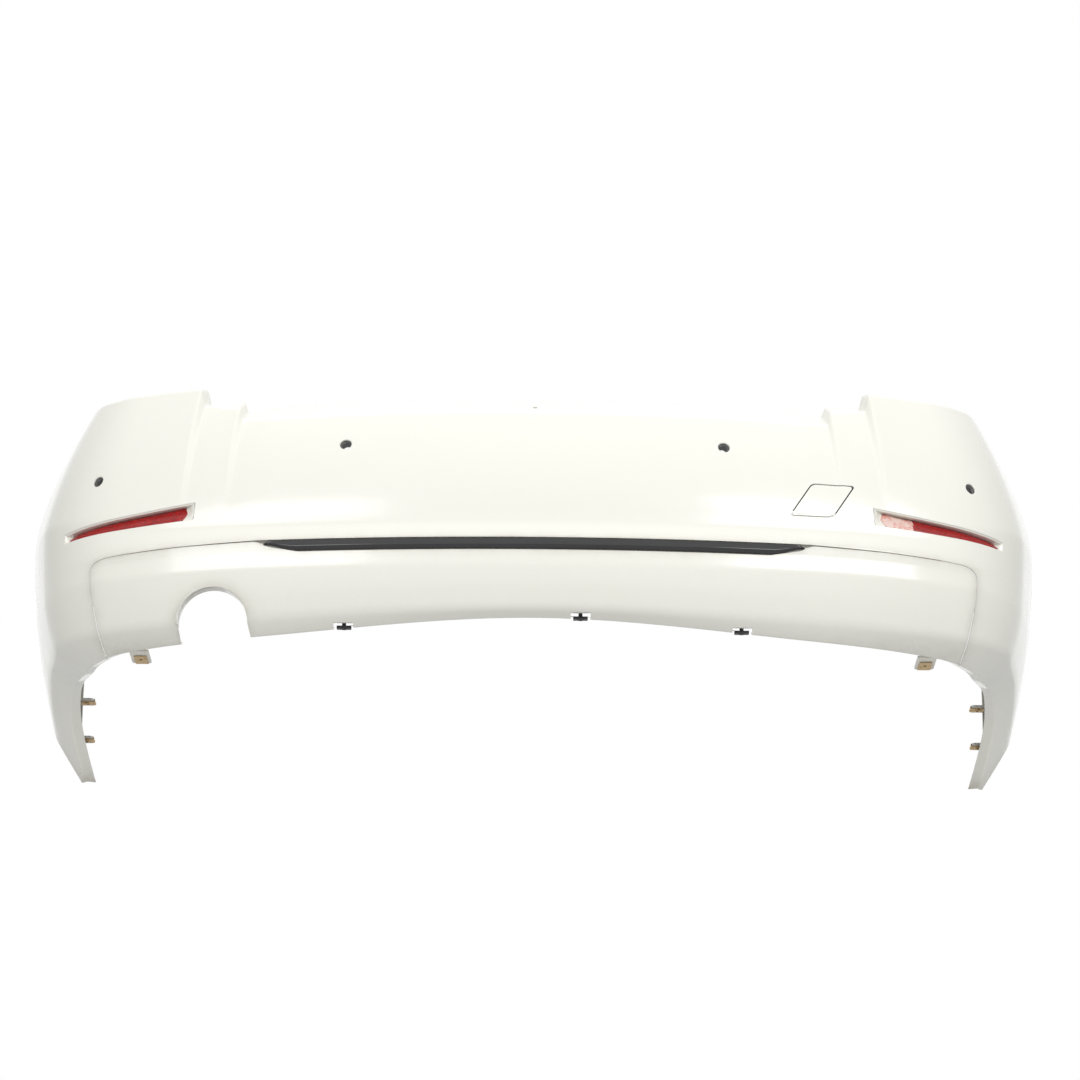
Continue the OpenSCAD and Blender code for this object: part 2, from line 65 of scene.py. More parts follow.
# Insets and heights of each rail at the stations
RAILS = {
    "top": ([69, 72, 88, 92, 88, 78, 52, 34, 16], [-10.8, -12, -12, -12, -12, -14, -60, -92, -120]),
    "break": ([17, 17, 17, 14, 8, 5, 6, 7, 5],
              [-185, -185, -185, -181, -174, -168, -160, -152, -140]),
    "ledge": ([14, 14, 14, 12, 8, 6, 8, 9, 8],
              [-204, -204, -204, -203, -200, -197, -194, -190, -184]),
    "groove": ([2, 2, 3, 5, 8, 9, 12, 16, 19],
               [-227, -228, -233, -240, -243, -243, -243, -243, -243]),
    "lip_top": ([2, 2, 3, 5, 8, 10, 13, 17, 21],
                [-247, -248, -251, -255, -257, -258, -260, -262, -264]),
    "lip": ([0, 0, 1, 3, 8, 12, 17, 23, 29],
            [-270, -271, -274, -278, -281, -284, -290, -296, -300]),
    "under": ([14, 14, 16, 20, 26, 32, 38, 47, 80],
              [-336, -344, -350, -354, -356, -359, -367, -400, -520]),
    "low": ([39, 41, 48, 60, 76, 82, 76, 90, 160],
            [-346, -370, -377, -382, -387, -391, -397, -452, -640]),
    "flange": ([30, 30, 26, 24, 22, 20, 18, 16, 14], [25, 25, 6, 4, 2, 0, 0, 0, 0]),
}
# The top edge steps up to the boot seat and then to the corner under the lamp
SEAT = (474, 486, 22)
SLOPE = (486, 546, 8)
LAMP = (546, 560, 30)
# From the flange down to the return: points on each stretch, how far it swells out, and the
# length by which the corner at its lower end is rounded
STRETCHES = [("flange", 4, 0, 5), ("top", 24, 9, 7), ("break", 4, 0, 5), ("ledge", 5, 0, 2.5),
             ("groove", 4, 0, 2.5), ("lip_top", 4, 0, 6), ("lip", 12, 2, 10), ("under", 6, 2, 3.5),
             ("low", 4, 0, 0)]
ROUNDING = 5
RETURN = (16, 5)


def arc_table():
    rows = []
    s, x, y, start = 0.0, 0.0, -float(NOSE), 0.0
    for radius, end in ARCS:
        a, b = math.radians(start), math.radians(end)
        rows.append((s, x, y, a, radius))
        s += radius * (b - a)
        x += radius * (math.sin(b) - math.sin(a))
        y += radius * (math.cos(a) - math.cos(b))
        start = end
    return rows, s


ARC_ROWS, PLAN_LENGTH = arc_table()


def plan(s):
    """Point of the plan line at s, and the unit vector from it into the car."""
    side = -1 if s < 0 else 1
    a = abs(s)
    s0, x0, y0, h0, radius = [row for row in ARC_ROWS if row[0] <= a][-1]
    h = h0 + (a - s0) / radius
    x = x0 + radius * (math.sin(h) - math.sin(h0))
    y = y0 + radius * (math.cos(h0) - math.cos(h))
    return side * x, y, -side * math.sin(h), math.cos(h)


def side_s(y):
    """Distance along the plan line at which the side reaches a given y."""
    s0, _, y0, h0, radius = ARC_ROWS[-1]
    return s0 + radius * (math.acos(math.cos(h0) - (y - y0) / radius) - h0)


def curve(values, s):
    a = min(abs(s), STATIONS[-1])
    last = len(STATIONS) - 1
    i = max(k for k in range(last) if STATIONS[k] <= a)
    h = STATIONS[i + 1] - STATIONS[i]
    t = (a - STATIONS[i]) / h

    def grade(k):
        if k == 0:
            return 0
        j = min(k + 1, last)
        return (values[j] - values[k - 1]) / (STATIONS[j] - STATIONS[k - 1])

    return (values[i] * (2 * t**3 - 3 * t * t + 1) + values[i + 1] * (3 * t * t - 2 * t**3)
            + grade(i) * h * (t**3 - 2 * t * t + t) + grade(i + 1) * h * (t**3 - t * t))


def ramp(x, a, b):
    t = min(1, max(0, (x - a) / (b - a)))
    return t * t * (3 - 2 * t)


def rail(name, s):
    inset, z = (curve(v, s) for v in RAILS[name])
    if name == "top":
        z += sum(rise * ramp(abs(s), a, b) for a, b, rise in (SEAT, SLOPE, LAMP))
    return np.array([inset, z])


def profile(s):
    """Outer skin at s as rows of inset and height, with rounded corners."""
    top = rail("top", s)
    keys = [top + rail("flange", s)] + [rail(row[0], s) for row in STRETCHES[1:]]
    keys.append(keys[-1] + np.array(RETURN))
    rows = []
    for i, (_, count, swell, cut) in enumerate(STRETCHES):
        a, b = keys[i], keys[i + 1]
        length = np.linalg.norm(b - a)
        before = STRETCHES[i - 1][3] if i else 0
        for f in np.linspace(before / length, 1 - cut / length, count):
            rows.append(a + (b - a) * f - np.array([swell * 4 * f * (1 - f), 0]))
        if cut:
            start = rows[-1]
            nxt = keys[i + 2]
            g = cut / np.linalg.norm(nxt - b)
            end = b + (nxt - b) * g - np.array([STRETCHES[i + 1][2] * 4 * g * (1 - g), 0])
            for k in range(1, ROUNDING):
                t = k / ROUNDING
                rows.append((1 - t)**2 * start + 2 * t * (1 - t) * b + t * t * end)
    return np.array(rows)


PROFILES = {}


def skin_inset(s, z):
    key = round(abs(s), 3)
    if key not in PROFILES:
        PROFILES[key] = profile(key)[STRETCHES[0][1] + 1:-STRETCHES[-1][1]]
    p = PROFILES[key]
    return float(np.interp(-z, -p[:, 1], p[:, 0]))


def place(s, inset, z):
    x, y, nx, ny = plan(s)
    return np.array([x + nx * inset, y + ny * inset, z])


def skin(s, z, depth=0.0):
    return place(s, skin_inset(s, z) + depth, z)


def normal(s, z):
    n = np.cross(skin(s + 3, z) - skin(s - 3, z), skin(s, z + 4) - skin(s, z - 4))
    return n / np.linalg.norm(n)


def on_skin(s, z, depth=0.0):
    """Matrix with +Z along the outward normal of the skin, +X down it and +Y to the right."""
    n = normal(s, z)
    turn = Matrix.Rotation(math.atan2(n[1], n[0]), 4, "Z") @ Matrix.Rotation(math.acos(n[2]), 4, "Y")
    return Matrix.Translation(Vector(skin(s, z) - n * depth)) @ turn


def offset(rows, depth):
    """Profile moved inward by a depth."""
    d = np.diff(rows, axis=0)
    d /= np.linalg.norm(d, axis=1)[:, None]
    square = np.stack([-d[:, 1], d[:, 0]], axis=1)
    first = np.vstack([square[:1], square])
    after = np.vstack([square, square[-1:]])
    n = first + after
    n /= np.linalg.norm(n, axis=1)[:, None]
    return rows + n * depth / np.maximum(0.6, np.sum(n * first, axis=1))[:, None]


# ---- Making meshes -----------------------------------------------------------------------------

PAINT, INSIDE = 0, 1


def new_object(name, points, faces, mats=None):
    mesh = bpy.data.meshes.new(name)
    mesh.from_pydata([tuple(float(c) * MM for c in p) for p in points], [], faces)
    if mats is not None:
        mesh.polygons.foreach_set("material_index", mats)
    obj = bpy.data.objects.new(name, mesh)
    bpy.context.scene.collection.objects.link(obj)
    return obj


def sheet(name, outer, inner, inside=PAINT):
    """Closed solid between two grids of points, each a list of columns from left to right."""
    n, m = len(outer), len(outer[0])
    k = n * m
    points = [p for c in outer for p in c] + [p for c in inner for p in c]
    faces, mats = [], []
    for i in range(n - 1):
        for j in range(m - 1):
            a, b = i * m + j, (i + 1) * m + j
            faces += [(a, a + 1, b + 1, b), (k + a, k + b, k + b + 1, k + a + 1)]
            mats += [PAINT, inside]
        a, b = i * m, (i + 1) * m
        faces.append((a, b, k + b, k + a))
        a, b = a + m - 1, b + m - 1
        faces.append((b, a, k + a, k + b))
        mats += [PAINT, PAINT]
    for j in range(m - 1):
        a, b = j, (n - 1) * m + j
        faces += [(a + 1, a, k + a, k + a + 1), (b, b + 1, k + b + 1, k + b)]
        mats += [PAINT, PAINT]
    return new_object(name, points, faces, mats)


def band(name, s0, s1, rows, step=4.0, inside=PAINT):
    """Solid that follows the skin: rows(s) gives height, outer depth and inner depth."""
    if s1 < s0:
        s0, s1 = s1, s0
    cols = np.linspace(s0, s1, max(2, int((s1 - s0) / step) + 1))
    faces = [[[skin(s, r[0], r[side]) for r in rows(s)] for s in cols] for side in (1, 2)]
    return sheet(name, faces[0], faces[1], inside)


def prism(name, outline, y0, y1):
    """Prism along Y of an outline in x and z."""
    n = len(outline)
    points = [(x, y0, z) for x, z in outline] + [(x, y1, z) for x, z in outline]
    faces = [tuple(range(n)), tuple(range(2 * n - 1, n - 1, -1))]
    faces += [(i, i + n, (i + 1) % n + n, (i + 1) % n) for i in range(n)]
    return tidy(new_object(name, points, faces))


def extrude(name, outline, z0, z1, matrix=None):
    """Prism along Z of an outline in x and y, moved by a matrix in millimetres."""
    n = len(outline)
    points = [(x, y, z0) for x, y in outline] + [(x, y, z1) for x, y in outline]
    faces = [tuple(range(n)), tuple(range(2 * n - 1, n - 1, -1))]
    faces += [(i, i + n, (i + 1) % n + n, (i + 1) % n) for i in range(n)]
    return moved(tidy(new_object(name, points, faces)), matrix)


def lathe(name, rows, matrix=None, steps=48):
    """Ring or disc about Z from a closed outline of radius and height."""
    points, faces = [], []
    m = len(rows)
    for i in range(steps):
        a = 2 * math.pi * i / steps
        points += [(r * math.cos(a), r * math.sin(a), z) for r, z in rows]
        for j in range(m):
            k = (i + 1) % steps
            faces.append((i * m + j, k * m + j, k * m + (j + 1) % m, i * m + (j + 1) % m))
    obj = new_object(name, points, faces)
    return moved(tidy(obj), matrix)


def rod(name, r, z0, z1, matrix=None, steps=48):
    outline = [(r * math.cos(2 * math.pi * i / steps), r * math.sin(2 * math.pi * i / steps))
               for i in range(steps)]
    return extrude(name, outline, z0, z1, matrix)


def tidy(obj):
    """Weld coincident points and turn all faces outward."""
    bm = bmesh.new()
    bm.from_mesh(obj.data)
    bmesh.ops.remove_doubles(bm, verts=bm.verts, dist=1e-6)
    bmesh.ops.recalc_face_normals(bm, faces=bm.faces)
    bm.to_mesh(obj.data)
    bm.free()
    return obj


def moved(obj, matrix):
    if matrix is not None:
        m = matrix.copy()
        m.translation *= MM
        obj.data.transform(m)
        if m.determinant() < 0:
            obj.data.flip_normals()
    return obj


def mirrored(obj, name):
    """Copy of a piece on the other side of the car."""
    twin = obj.copy()
    twin.data = obj.data.copy()
    twin.name = name
    bpy.context.scene.collection.objects.link(twin)
    twin.data.transform(Matrix.Scale(-1, 4, (1, 0, 0)))
    twin.data.flip_normals()
    return twin


def boolean(obj, other, how="DIFFERENCE"):
    mod = obj.modifiers.new("cut", "BOOLEAN")
    mod.operation = how
    mod.solver = "MANIFOLD"
    mod.object = other
    bpy.context.view_layer.update()
    graph = bpy.context.evaluated_depsgraph_get()
    mesh = bpy.data.meshes.new_from_object(obj.evaluated_get(graph))
    obj.modifiers.clear()
    old = obj.data
    obj.data = mesh
    bpy.data.meshes.remove(old)
    bpy.data.objects.remove(other)
    return obj


def bevel(obj, width, segments=2, angle=40):
    mod = obj.modifiers.new("bevel", "BEVEL")
    mod.width = width * MM
    mod.segments = segments
    mod.limit_method = "ANGLE"
    mod.angle_limit = math.radians(angle)
    mod.harden_normals = False
    bpy.context.view_layer.update()
    graph = bpy.context.evaluated_depsgraph_get()
    mesh = bpy.data.meshes.new_from_object(obj.evaluated_get(graph))
    obj.modifiers.clear()
    obj.data = mesh
    return obj


def join(name, parts):
    """One mesh out of several, which keep their material slots' numbers."""
    bm = bmesh.new()
    for p in parts:
        bm.from_mesh(p.data)
    mesh = bpy.data.meshes.new(name)
    bm.to_mesh(mesh)
    bm.free()
    obj = bpy.data.objects.new(name, mesh)
    bpy.context.scene.collection.objects.link(obj)
    for p in parts:
        bpy.data.objects.remove(p)
    return obj


def smooth(obj, angle=32):
    """Smooth shading, with sharp edges where two faces meet at more than the angle."""
    bm = bmesh.new()
    bm.from_mesh(obj.data)
    for f in bm.faces:
        f.smooth = True
    for e in bm.edges:
        e.smooth = len(e.link_faces) == 2 and e.calc_face_angle(0) < math.radians(angle)
    bm.to_mesh(obj.data)
    bm.free()
    mod = obj.modifiers.new("even shading", "WEIGHTED_NORMAL")
    mod.keep_sharp = True
    return obj


def finish_piece(obj, mats, slot, *nodes, body="cover", angle=32):
    smooth(obj, angle)
    kept = [f.material_index for f in obj.data.polygons]
    obj.data.materials.clear()
    for m in mats:
        obj.data.materials.append(m)
    obj.data.polygons.foreach_set("material_index", [min(k, len(mats) - 1) for k in kept])
    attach(obj, body)
    if nodes:
        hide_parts(*nodes)
    return obj


def rounded(points, cuts, count=6):
    """Closed outline with each corner rounded over a length cut from both of its sides."""
    out = []
    n = len(points)
    for i, cut in enumerate(cuts):
        q = np.array(points[i], float)
        before = np.array(points[i - 1]) - q
        after = np.array(points[(i + 1) % n]) - q
        a = q + before / np.linalg.norm(before) * cut
        b = q + after / np.linalg.norm(after) * cut
        if cut == 0:
            out.append(tuple(q))
            continue
        for k in range(count + 1):
            t = k / count
            out.append(tuple((1 - t)**2 * a + 2 * t * (1 - t) * q + t * t * b))
    return out


def rectangle(x0, x1, y0, y1, cut=0.0):
    return rounded([(x0, y0), (x1, y0), (x1, y1), (x0, y1)], [cut] * 4)


# ---- Materials ---------------------------------------------------------------------------------

def material(name):
    mat = bpy.data.materials.new(name)
    mat.use_nodes = True
    tree = mat.node_tree
    tree.nodes.clear()
    out = tree.nodes.new("ShaderNodeOutputMaterial")
    bsdf = tree.nodes.new("ShaderNodeBsdfPrincipled")
    tree.links.new(bsdf.outputs["BSDF"], out.inputs["Surface"])
    return mat, tree, bsdf


def node(tree, kind, inputs=None, **props):
    n = tree.nodes.new("ShaderNode" + kind)
    for key, value in props.items():
        setattr(n, key, value)
    for key, value in (inputs or {}).items():
        if isinstance(value, bpy.types.NodeSocket):
            tree.links.new(value, n.inputs[key])
        else:
            n.inputs[key].default_value = value
    return n


def place_of(tree, scale=(1, 1, 1)):
    """Object coordinates, stretched."""
    coords = node(tree, "TexCoord")
    return node(tree, "Mapping", {"Vector": coords.outputs["Object"], "Scale": scale}).outputs[0]


def noise(tree, scale, detail=4.0, rough=0.5, stretch=(1, 1, 1), distortion=0.0):
    return node(tree, "TexNoise", {"Vector": place_of(tree, stretch), "Scale": scale,
                                   "Detail": detail, "Roughness": rough,
                                   "Distortion": distortion}).outputs["Fac"]


def span(tree, value, from0, from1, to0, to1, smooth_step=False):
    return node(tree, "MapRange", {"Value": value, "From Min": from0, "From Max": from1,
                                   "To Min": to0, "To Max": to1},
                interpolation_type="SMOOTHSTEP" if smooth_step else "LINEAR").outputs["Result"]


def mix(tree, factor, a, b):
    n = tree.nodes.new("ShaderNodeMix")
    n.data_type = "RGBA"
    for key, value in ((0, factor), (6, a), (7, b)):
        if isinstance(value, bpy.types.NodeSocket):
            tree.links.new(value, n.inputs[key])
        else:
            n.inputs[key].default_value = value
    return n.outputs[2]


def maths(tree, how, a, b=0.0):
    n = tree.nodes.new("ShaderNodeMath")
    n.operation = how
    for i, value in enumerate((a, b)):
        if isinstance(value, bpy.types.NodeSocket):
            tree.links.new(value, n.inputs[i])
        else:
            n.inputs[i].default_value = value
    return n.outputs[0]


def bump(tree, height, strength, distance, before=None):
    inputs = {"Height": height, "Strength": strength, "Distance": distance}
    if before is not None:
        inputs["Normal"] = before
    return node(tree, "Bump", inputs).outputs["Normal"]


def wire(tree, bsdf, **inputs):
    for key, value in inputs.items():
        socket = bsdf.inputs[key.replace("_", " ")]
        if isinstance(value, bpy.types.NodeSocket):
            tree.links.new(value, socket)
        else:
            socket.default_value = value


def grey(v):
    return (v, v, v, 1)


def paint_material():
    """Warm white car paint under clear coat: orange peel, hairline scratches, and painted shade with
    patchy grime in the gaps and joints.
    """
    mat, t, bsdf = material("warm_white_paint")
    tone = mix(t, noise(t, 2.2, 2), (0.845, 0.84, 0.765, 1), (0.875, 0.87, 0.80, 1))
    # Painted shade: this layer turns the paint brownish grey in the gaps, along the arch joints and on
    # undersides, broken up by patchy grime.
    shade_and_dirt = node(t, "Attribute", attribute_name="shade_and_grime").outputs["Fac"]
    cloud = span(t, noise(t, 38, 6, 0.6), 0.35, 0.75, 0.0, 1.0)
    amount = maths(t, "MULTIPLY", shade_and_dirt, maths(t, "ADD", maths(t, "MULTIPLY", cloud, 0.6), 0.4))
    colour = mix(t, amount, tone, (0.40, 0.36, 0.29, 1))
    scratches = span(t, noise(t, 60, 3, 0.6, (1, 0.6, 14), 1.5), 0.68, 0.74, 0.0, 1.0)
    patchy = span(t, noise(t, 5, 3), 0.5, 0.62, 0.0, 1.0)
    marks = maths(t, "MULTIPLY", scratches, patchy)
    rough = maths(t, "ADD", span(t, noise(t, 14, 4), 0.3, 0.7, 0.16, 0.26),
                  maths(t, "ADD", maths(t, "MULTIPLY", marks, 0.10), maths(t, "MULTIPLY", amount, 0.4)))
    peel = bump(t, noise(t, 320, 2, 0.4), 0.05, 0.0006)
    wire(t, bsdf, Base_Color=colour, Roughness=rough, IOR=1.5, Coat_Weight=0.7,
         Coat_Roughness=0.10, Normal=peel)
    edge = node(t, "Bevel", {"Radius": 0.0009}, samples=4)
    t.links.new(edge.outputs[0], t.nodes["Bump"].inputs["Normal"])
    coat = t.nodes["Bump"].outputs["Normal"]
    t.links.new(coat, bsdf.inputs["Coat Normal"])
    return mat


def inside_material():
    """Bare moulded back of the skin: dark grained plastic with paint mist near its edges."""
    mat, t, bsdf = material("bare_plastic_with_overspray")
    mist = node(t, "Attribute", attribute_name="mist").outputs["Fac"]
    cover = span(t, maths(t, "ADD", mist, span(t, noise(t, 24, 6, 0.65), 0.3, 0.7, -0.35, 0.35)),
                 0.35, 0.75, 0.0, 1.0, True)
    plastic = mix(t, noise(t, 9, 3), (0.028, 0.028, 0.030, 1), (0.050, 0.050, 0.052, 1))
    colour = mix(t, cover, plastic, (0.70, 0.69, 0.65, 1))
    grain = bump(t, noise(t, 900, 2, 0.5), 0.25, 0.0003)
    wire(t, bsdf, Base_Color=colour, Roughness=span(t, cover, 0, 1, 0.62, 0.45), Normal=grain)
    return mat


def black_gloss_material():
    mat, t, bsdf = material("gloss_black_plastic")
    colour = mix(t, noise(t, 6, 3), (0.010, 0.010, 0.011, 1), (0.020, 0.020, 0.022, 1))
    dust = span(t, noise(t, 180, 5, 0.7), 0.62, 0.8, 0.0, 0.12)
    colour = mix(t, dust, colour, (0.30, 0.29, 0.27, 1))
    lines = span(t, noise(t, 90, 3, 0.6, (0.25, 1, 9), 1.0), 0.66, 0.74, 0.0, 0.12)
    rough = maths(t, "ADD", lines, span(t, noise(t, 22, 4), 0.3, 0.7, 0.10, 0.17))
    peel = bump(t, noise(t, 260, 2, 0.4), 0.06, 0.0006)
    wire(t, bsdf, Base_Color=colour, Roughness=rough, Coat_Weight=0.5, Coat_Roughness=0.05,
         Normal=peel)
    return mat


def reflector_material():
    """Red lens: smooth outside, rows of small prisms behind it, with painted glints on the prisms and a
    faint painted red glow.
    """
    mat, t, bsdf = material("red_reflector_lens")
    prisms = node(t, "TexVoronoi", {"Vector": place_of(t), "Scale": 260.0}, distance="CHEBYCHEV",
                  feature="F1")
    cell = prisms.outputs["Distance"]
    # Painted glints: some prism cells are painted a brighter red than others.
    glint = span(t, prisms.outputs["Color"], 0.2, 0.9, 0.0, 1.0)
    deep = mix(t, glint, (0.26, 0.002, 0.003, 1), (0.52, 0.006, 0.006, 1))
    colour = mix(t, span(t, cell, 0.0, 0.5, 0.0, 0.55), deep, (0.16, 0.002, 0.004, 1))
    haze = span(t, noise(t, 30, 5, 0.6), 0.45, 0.75, 0.0, 0.03)
    colour = mix(t, haze, colour, (0.75, 0.45, 0.42, 1))
    facets = bump(t, cell, 0.30, 0.0012)
    wire(t, bsdf, Base_Color=colour, Roughness=0.3, Normal=facets, Coat_Weight=0.35,
         Coat_Roughness=0.06, Specular_IOR_Level=0.35)
    # Painted glow: the lens gives off a little red light of its own, though it is no lamp.
    wire(t, bsdf, Emission_Color=(0.5, 0.004, 0.006, 1), Emission_Strength=0.10)
    return mat


def glare_patch_material():
    """Painted glare: a pale pink patch on the inner end of the right lens that stands in for a
    reflection of the light.
    """
    mat, t, bsdf = material("painted_glare_patch")
    spots = span(t, noise(t, 70, 5, 0.65), 0.4, 0.62, 0.0, 1.0, True)
    colour = mix(t, spots, (0.80, 0.62, 0.56, 1), (0.72, 0.30, 0.25, 1))
    patch_bump = bump(t, noise(t, 420, 4, 0.7), 0.25, 0.0004)
    wire(t, bsdf, Base_Color=colour, Roughness=span(t, spots, 0, 1, 0.34, 0.22), Normal=patch_bump)
    return mat


def dark_plastic_material(name, low, high, rough):
    mat, t, bsdf = material(name)
    colour = mix(t, noise(t, 25, 4, 0.6), grey(low), grey(high))
    dust = span(t, noise(t, 140, 6, 0.7), 0.55, 0.8, 0.0, 0.22)
    colour = mix(t, dust, colour, (0.30, 0.28, 0.25, 1))
    grain = bump(t, noise(t, 1100, 2, 0.5), 0.30, 0.0003)
    wire(t, bsdf, Base_Color=colour, Roughness=span(t, noise(t, 60, 4), 0.3, 0.7, rough - 0.08,
                                                    rough + 0.08), Normal=grain)
    return mat


def metal_material(name, low, high, rust, rough):
    mat, t, bsdf = material(name)
    colour = mix(t, noise(t, 70, 5, 0.6), low, high)
    stain = span(t, noise(t, 160, 6, 0.65), 0.56, 0.74, 0.0, rust)
    colour = mix(t, stain, colour, (0.22, 0.11, 0.045, 1))
    brushed = bump(t, noise(t, 500, 3, 0.6, (1, 12, 1)), 0.2, 0.0003)
    wire(t, bsdf, Base_Color=colour, Metallic=span(t, stain, 0, 1, 1.0, 0.2),
         Roughness=maths(t, "ADD", span(t, noise(t, 90, 4), 0.3, 0.7, rough - 0.07, rough + 0.08),
                         maths(t, "MULTIPLY", stain, 0.35)), Normal=brushed)
    return mat


PAINT_MAT = paint_material()
INSIDE_MAT = inside_material()
GLOSS = black_gloss_material()
RED = reflector_material()
GLARE_PATCH = glare_patch_material()
DARK = dark_plastic_material("dark_grey_plastic", 0.035, 0.06, 0.5)
GREY = dark_plastic_material("grey_plastic", 0.15, 0.21, 0.45)
BLACK = dark_plastic_material("black_clip_plastic", 0.025, 0.05, 0.42)
ZINC = metal_material("yellow_zinc", (0.70, 0.46, 0.22, 1), (0.66, 0.55, 0.36, 1), 0.9, 0.36)
SPRING = metal_material("spring_steel", (0.50, 0.50, 0.52, 1), (0.62, 0.62, 0.63, 1), 0.45, 0.36)


# ---- Main cover --------------------------------------------------------------------------------

def columns(s1, step_flat, step_corner):
    """Distances along the plan line from the middle, closer together where it bends or steps."""
    values = {0.0}
    stops = [(0, SEAT[0], step_flat), (SEAT[0], SEAT[1], 1.5), (SEAT[1], LAMP[0], step_flat),
             (LAMP[0], LAMP[1], 1.5), (LAMP[1], ARC_ROWS[3][0], step_corner),
             (ARC_ROWS[3][0], s1, step_flat)]
    for a, b, step in stops:
        if a < s1:
            b = min(b, s1)
            values.update(float(v) for v in np.linspace(a, b, max(2, math.ceil((b - a) / step) + 1)))
    values = sorted(values)
    keep = [values[0]] + [b for a, b in zip(values, values[1:]) if b - a > 0.01]
    return [-v for v in keep[:0:-1]] + keep


def shell(name, s1, step_flat=7.0, step_corner=5.0):
    cols = columns(s1, step_flat, step_corner)
    outer, inner = [], []
    for s in cols:
        p = profile(s)
        outer.append([place(s, *q) for q in p])
        inner.append([place(s, *q) for q in offset(p, WALL)])
    return sheet(name, outer, inner, INSIDE)


VALANCE_LOW = -430
OPENING = [(420, -229), (545, -234), (630, -239), (664, -242), (679, -247), (687, -259),
           (684, -295), (656, VALANCE_LOW)]
OPENING_CUTS = [0, 8, 8, 6, 5, 8, 8, 0]
PANEL = [(356, -248.5), (404, -240), (422, -231), (545, -235), (630, -240), (663, -243),
         (677.5, -248), (685.5, -259.5), (682.8, -295), (654.8, VALANCE_LOW)]
PANEL_CUTS = [0, 8, 6, 8, 8, 6, 5, 8, 8, 0]


def both_sides(half, cuts):
    """Closed outline from its right half, which starts and ends away from the middle."""
    mirror = [(-x, z) for x, z in half[::-1]]
    return rounded(half + mirror, cuts + cuts[::-1])


ARCH_R, ARCH_Y, ARCH_DROP = 350, 860, 360
FOOT, WING_END = 510, 640
SENSORS = {"outer_left": (-719, -108), "inner_left": (-298, -68),
           "inner_right": (298, -68), "outer_right": (719, -108)}
SENSOR_HOLE_R, SENSOR_SEAT_R = 9, 7.7
FLAP_S, FLAP_Z = 449, -152
FLAP_W, FLAP_H, FLAP_LEAN, FLAP_GAP = 66, 54, 38, 1.8
RECESS = (530, 774)
RECESS_TOP, RECESS_LOW = (-159, -191), (-188, -206)
END_SLANT, END_REACH, END_Z, END_HALF = 6, 26, -176, 12
SHELF_T, SHELF_DEPTH = 2.5, 24
LENS = (545, 764)
LENS_DEPTHS = (12, 7, 3)
LENS_T = 5


def recess_at(ends, s):
    return ends[0] + (ends[1] - ends[0]) * (abs(s) - RECESS[0]) / (RECESS[1] - RECESS[0])


def flap_corners(w, h, lean):
    return [(-h / 2, -w / 2 + lean / 2), (-h / 2, w / 2 + lean / 2),
            (h / 2, w / 2 - lean / 2), (h / 2, -w / 2 - lean / 2)]


def flap_outline(grow, cuts=(7, 7, 7, 7)):
    """Slanted outline of the towing-eye flap, grown outwards by a distance."""
    slope = math.hypot(1, FLAP_LEAN / FLAP_H)
    return rounded(flap_corners(FLAP_W + 2 * grow * slope, FLAP_H + 2 * grow,
                                FLAP_LEAN * (1 + 2 * grow / FLAP_H)), cuts, 8)


def arch_cutter():
    ring = [(ARCH_Y + ARCH_R * math.cos(2 * math.pi * i / 180),
             -ARCH_DROP + ARCH_R * math.sin(2 * math.pi * i / 180)) for i in range(180)]
    n = len(ring)
    points = [(-1000, y, z) for y, z in ring] + [(1000, y, z) for y, z in ring]
    faces = [tuple(range(n)), tuple(range(2 * n - 1, n - 1, -1))]
    faces += [(i, i + n, (i + 1) % n + n, (i + 1) % n) for i in range(n)]
    return tidy(new_object("arch", points, faces))


def box_cutter(lo, hi):
    return prism("box", [(lo[0], lo[2]), (hi[0], lo[2]), (hi[0], hi[2]), (lo[0], hi[2])],
                 lo[1], hi[1])


def hole_cutter(matrix, r, depth=40.0, sink=0.9):
    """Round hole with a small chamfer at z = 0."""
    return lathe("hole", [(0, -depth), (r, -depth), (r, -sink), (r + sink, 0.05),
                          (r + sink + 2, 8), (0, 8)], matrix, 64)


def recess_rows(s):
    top, low = recess_at(RECESS_TOP, s), recess_at(RECESS_LOW, s)
    zs = np.linspace(top, low, 7)
    return [(z, -10, SHELF_DEPTH + 14) for z in zs]


def shelf_rows(s):
    """Roof of a recess: rolled in from the skin's edge, then flat and tilted a little down."""
    top = recess_at(RECESS_TOP, s)
    return [(top + 0.6, 0.6, SHELF_DEPTH), (top - 0.2, 0.5, SHELF_DEPTH),
            (top - 0.9, 1.3, SHELF_DEPTH), (top - SHELF_T, 2.6, SHELF_DEPTH)]


def lens_depth(f):
    """Depth of the lens face behind the skin, from 0 at its top edge to 1 at its lower edge."""
    return float(np.interp(f, (0, 0.5, 1), LENS_DEPTHS))


def end_patch(name, side, s_skin, s_lens):
    """Scooped end of a recess, which leads from the skin down to the end of the lens."""
    cols = np.linspace(s_skin, s_lens, 12)
    if (s_lens - s_skin) * side < 0:
        cols = cols[::-1]
    outer, inner = [], []
    for s in sorted(cols * side):
        share = (abs(s) - s_skin) / (s_lens - s_skin)
        ease = ramp(share, -0.15, 1.0)
        top, low = recess_at(RECESS_TOP, s) - 0.4, recess_at(RECESS_LOW, s) - 0.4
        fs = np.linspace(0, 1, 9)
        depth = [0.35 + (lens_depth(f) + 0.4) * ease * (1 if f < 0.95 else 0.9) for f in fs]
        outer.append([skin(s, top + (low - top) * f, d) for f, d in zip(fs, depth)])
        inner.append([skin(s, top + (low - top) * f, d + 2) for f, d in zip(fs, depth)])
    return sheet(name, outer, inner)


def slant_end(obj):
    """Lean the inner end of a lens or its scoop: outwards at the top, inwards below."""
    x_end = plan(LENS[0])[0]
    for v in obj.data.vertices:
        x, z = v.co.x / MM, v.co.z / MM
        near = max(0, 1 - abs(abs(x) - x_end) / END_REACH)
        lift = max(-1, min(1, (z - END_Z) / END_HALF))
        v.co.x += math.copysign(END_SLANT * lift * near, x) * MM
    return obj


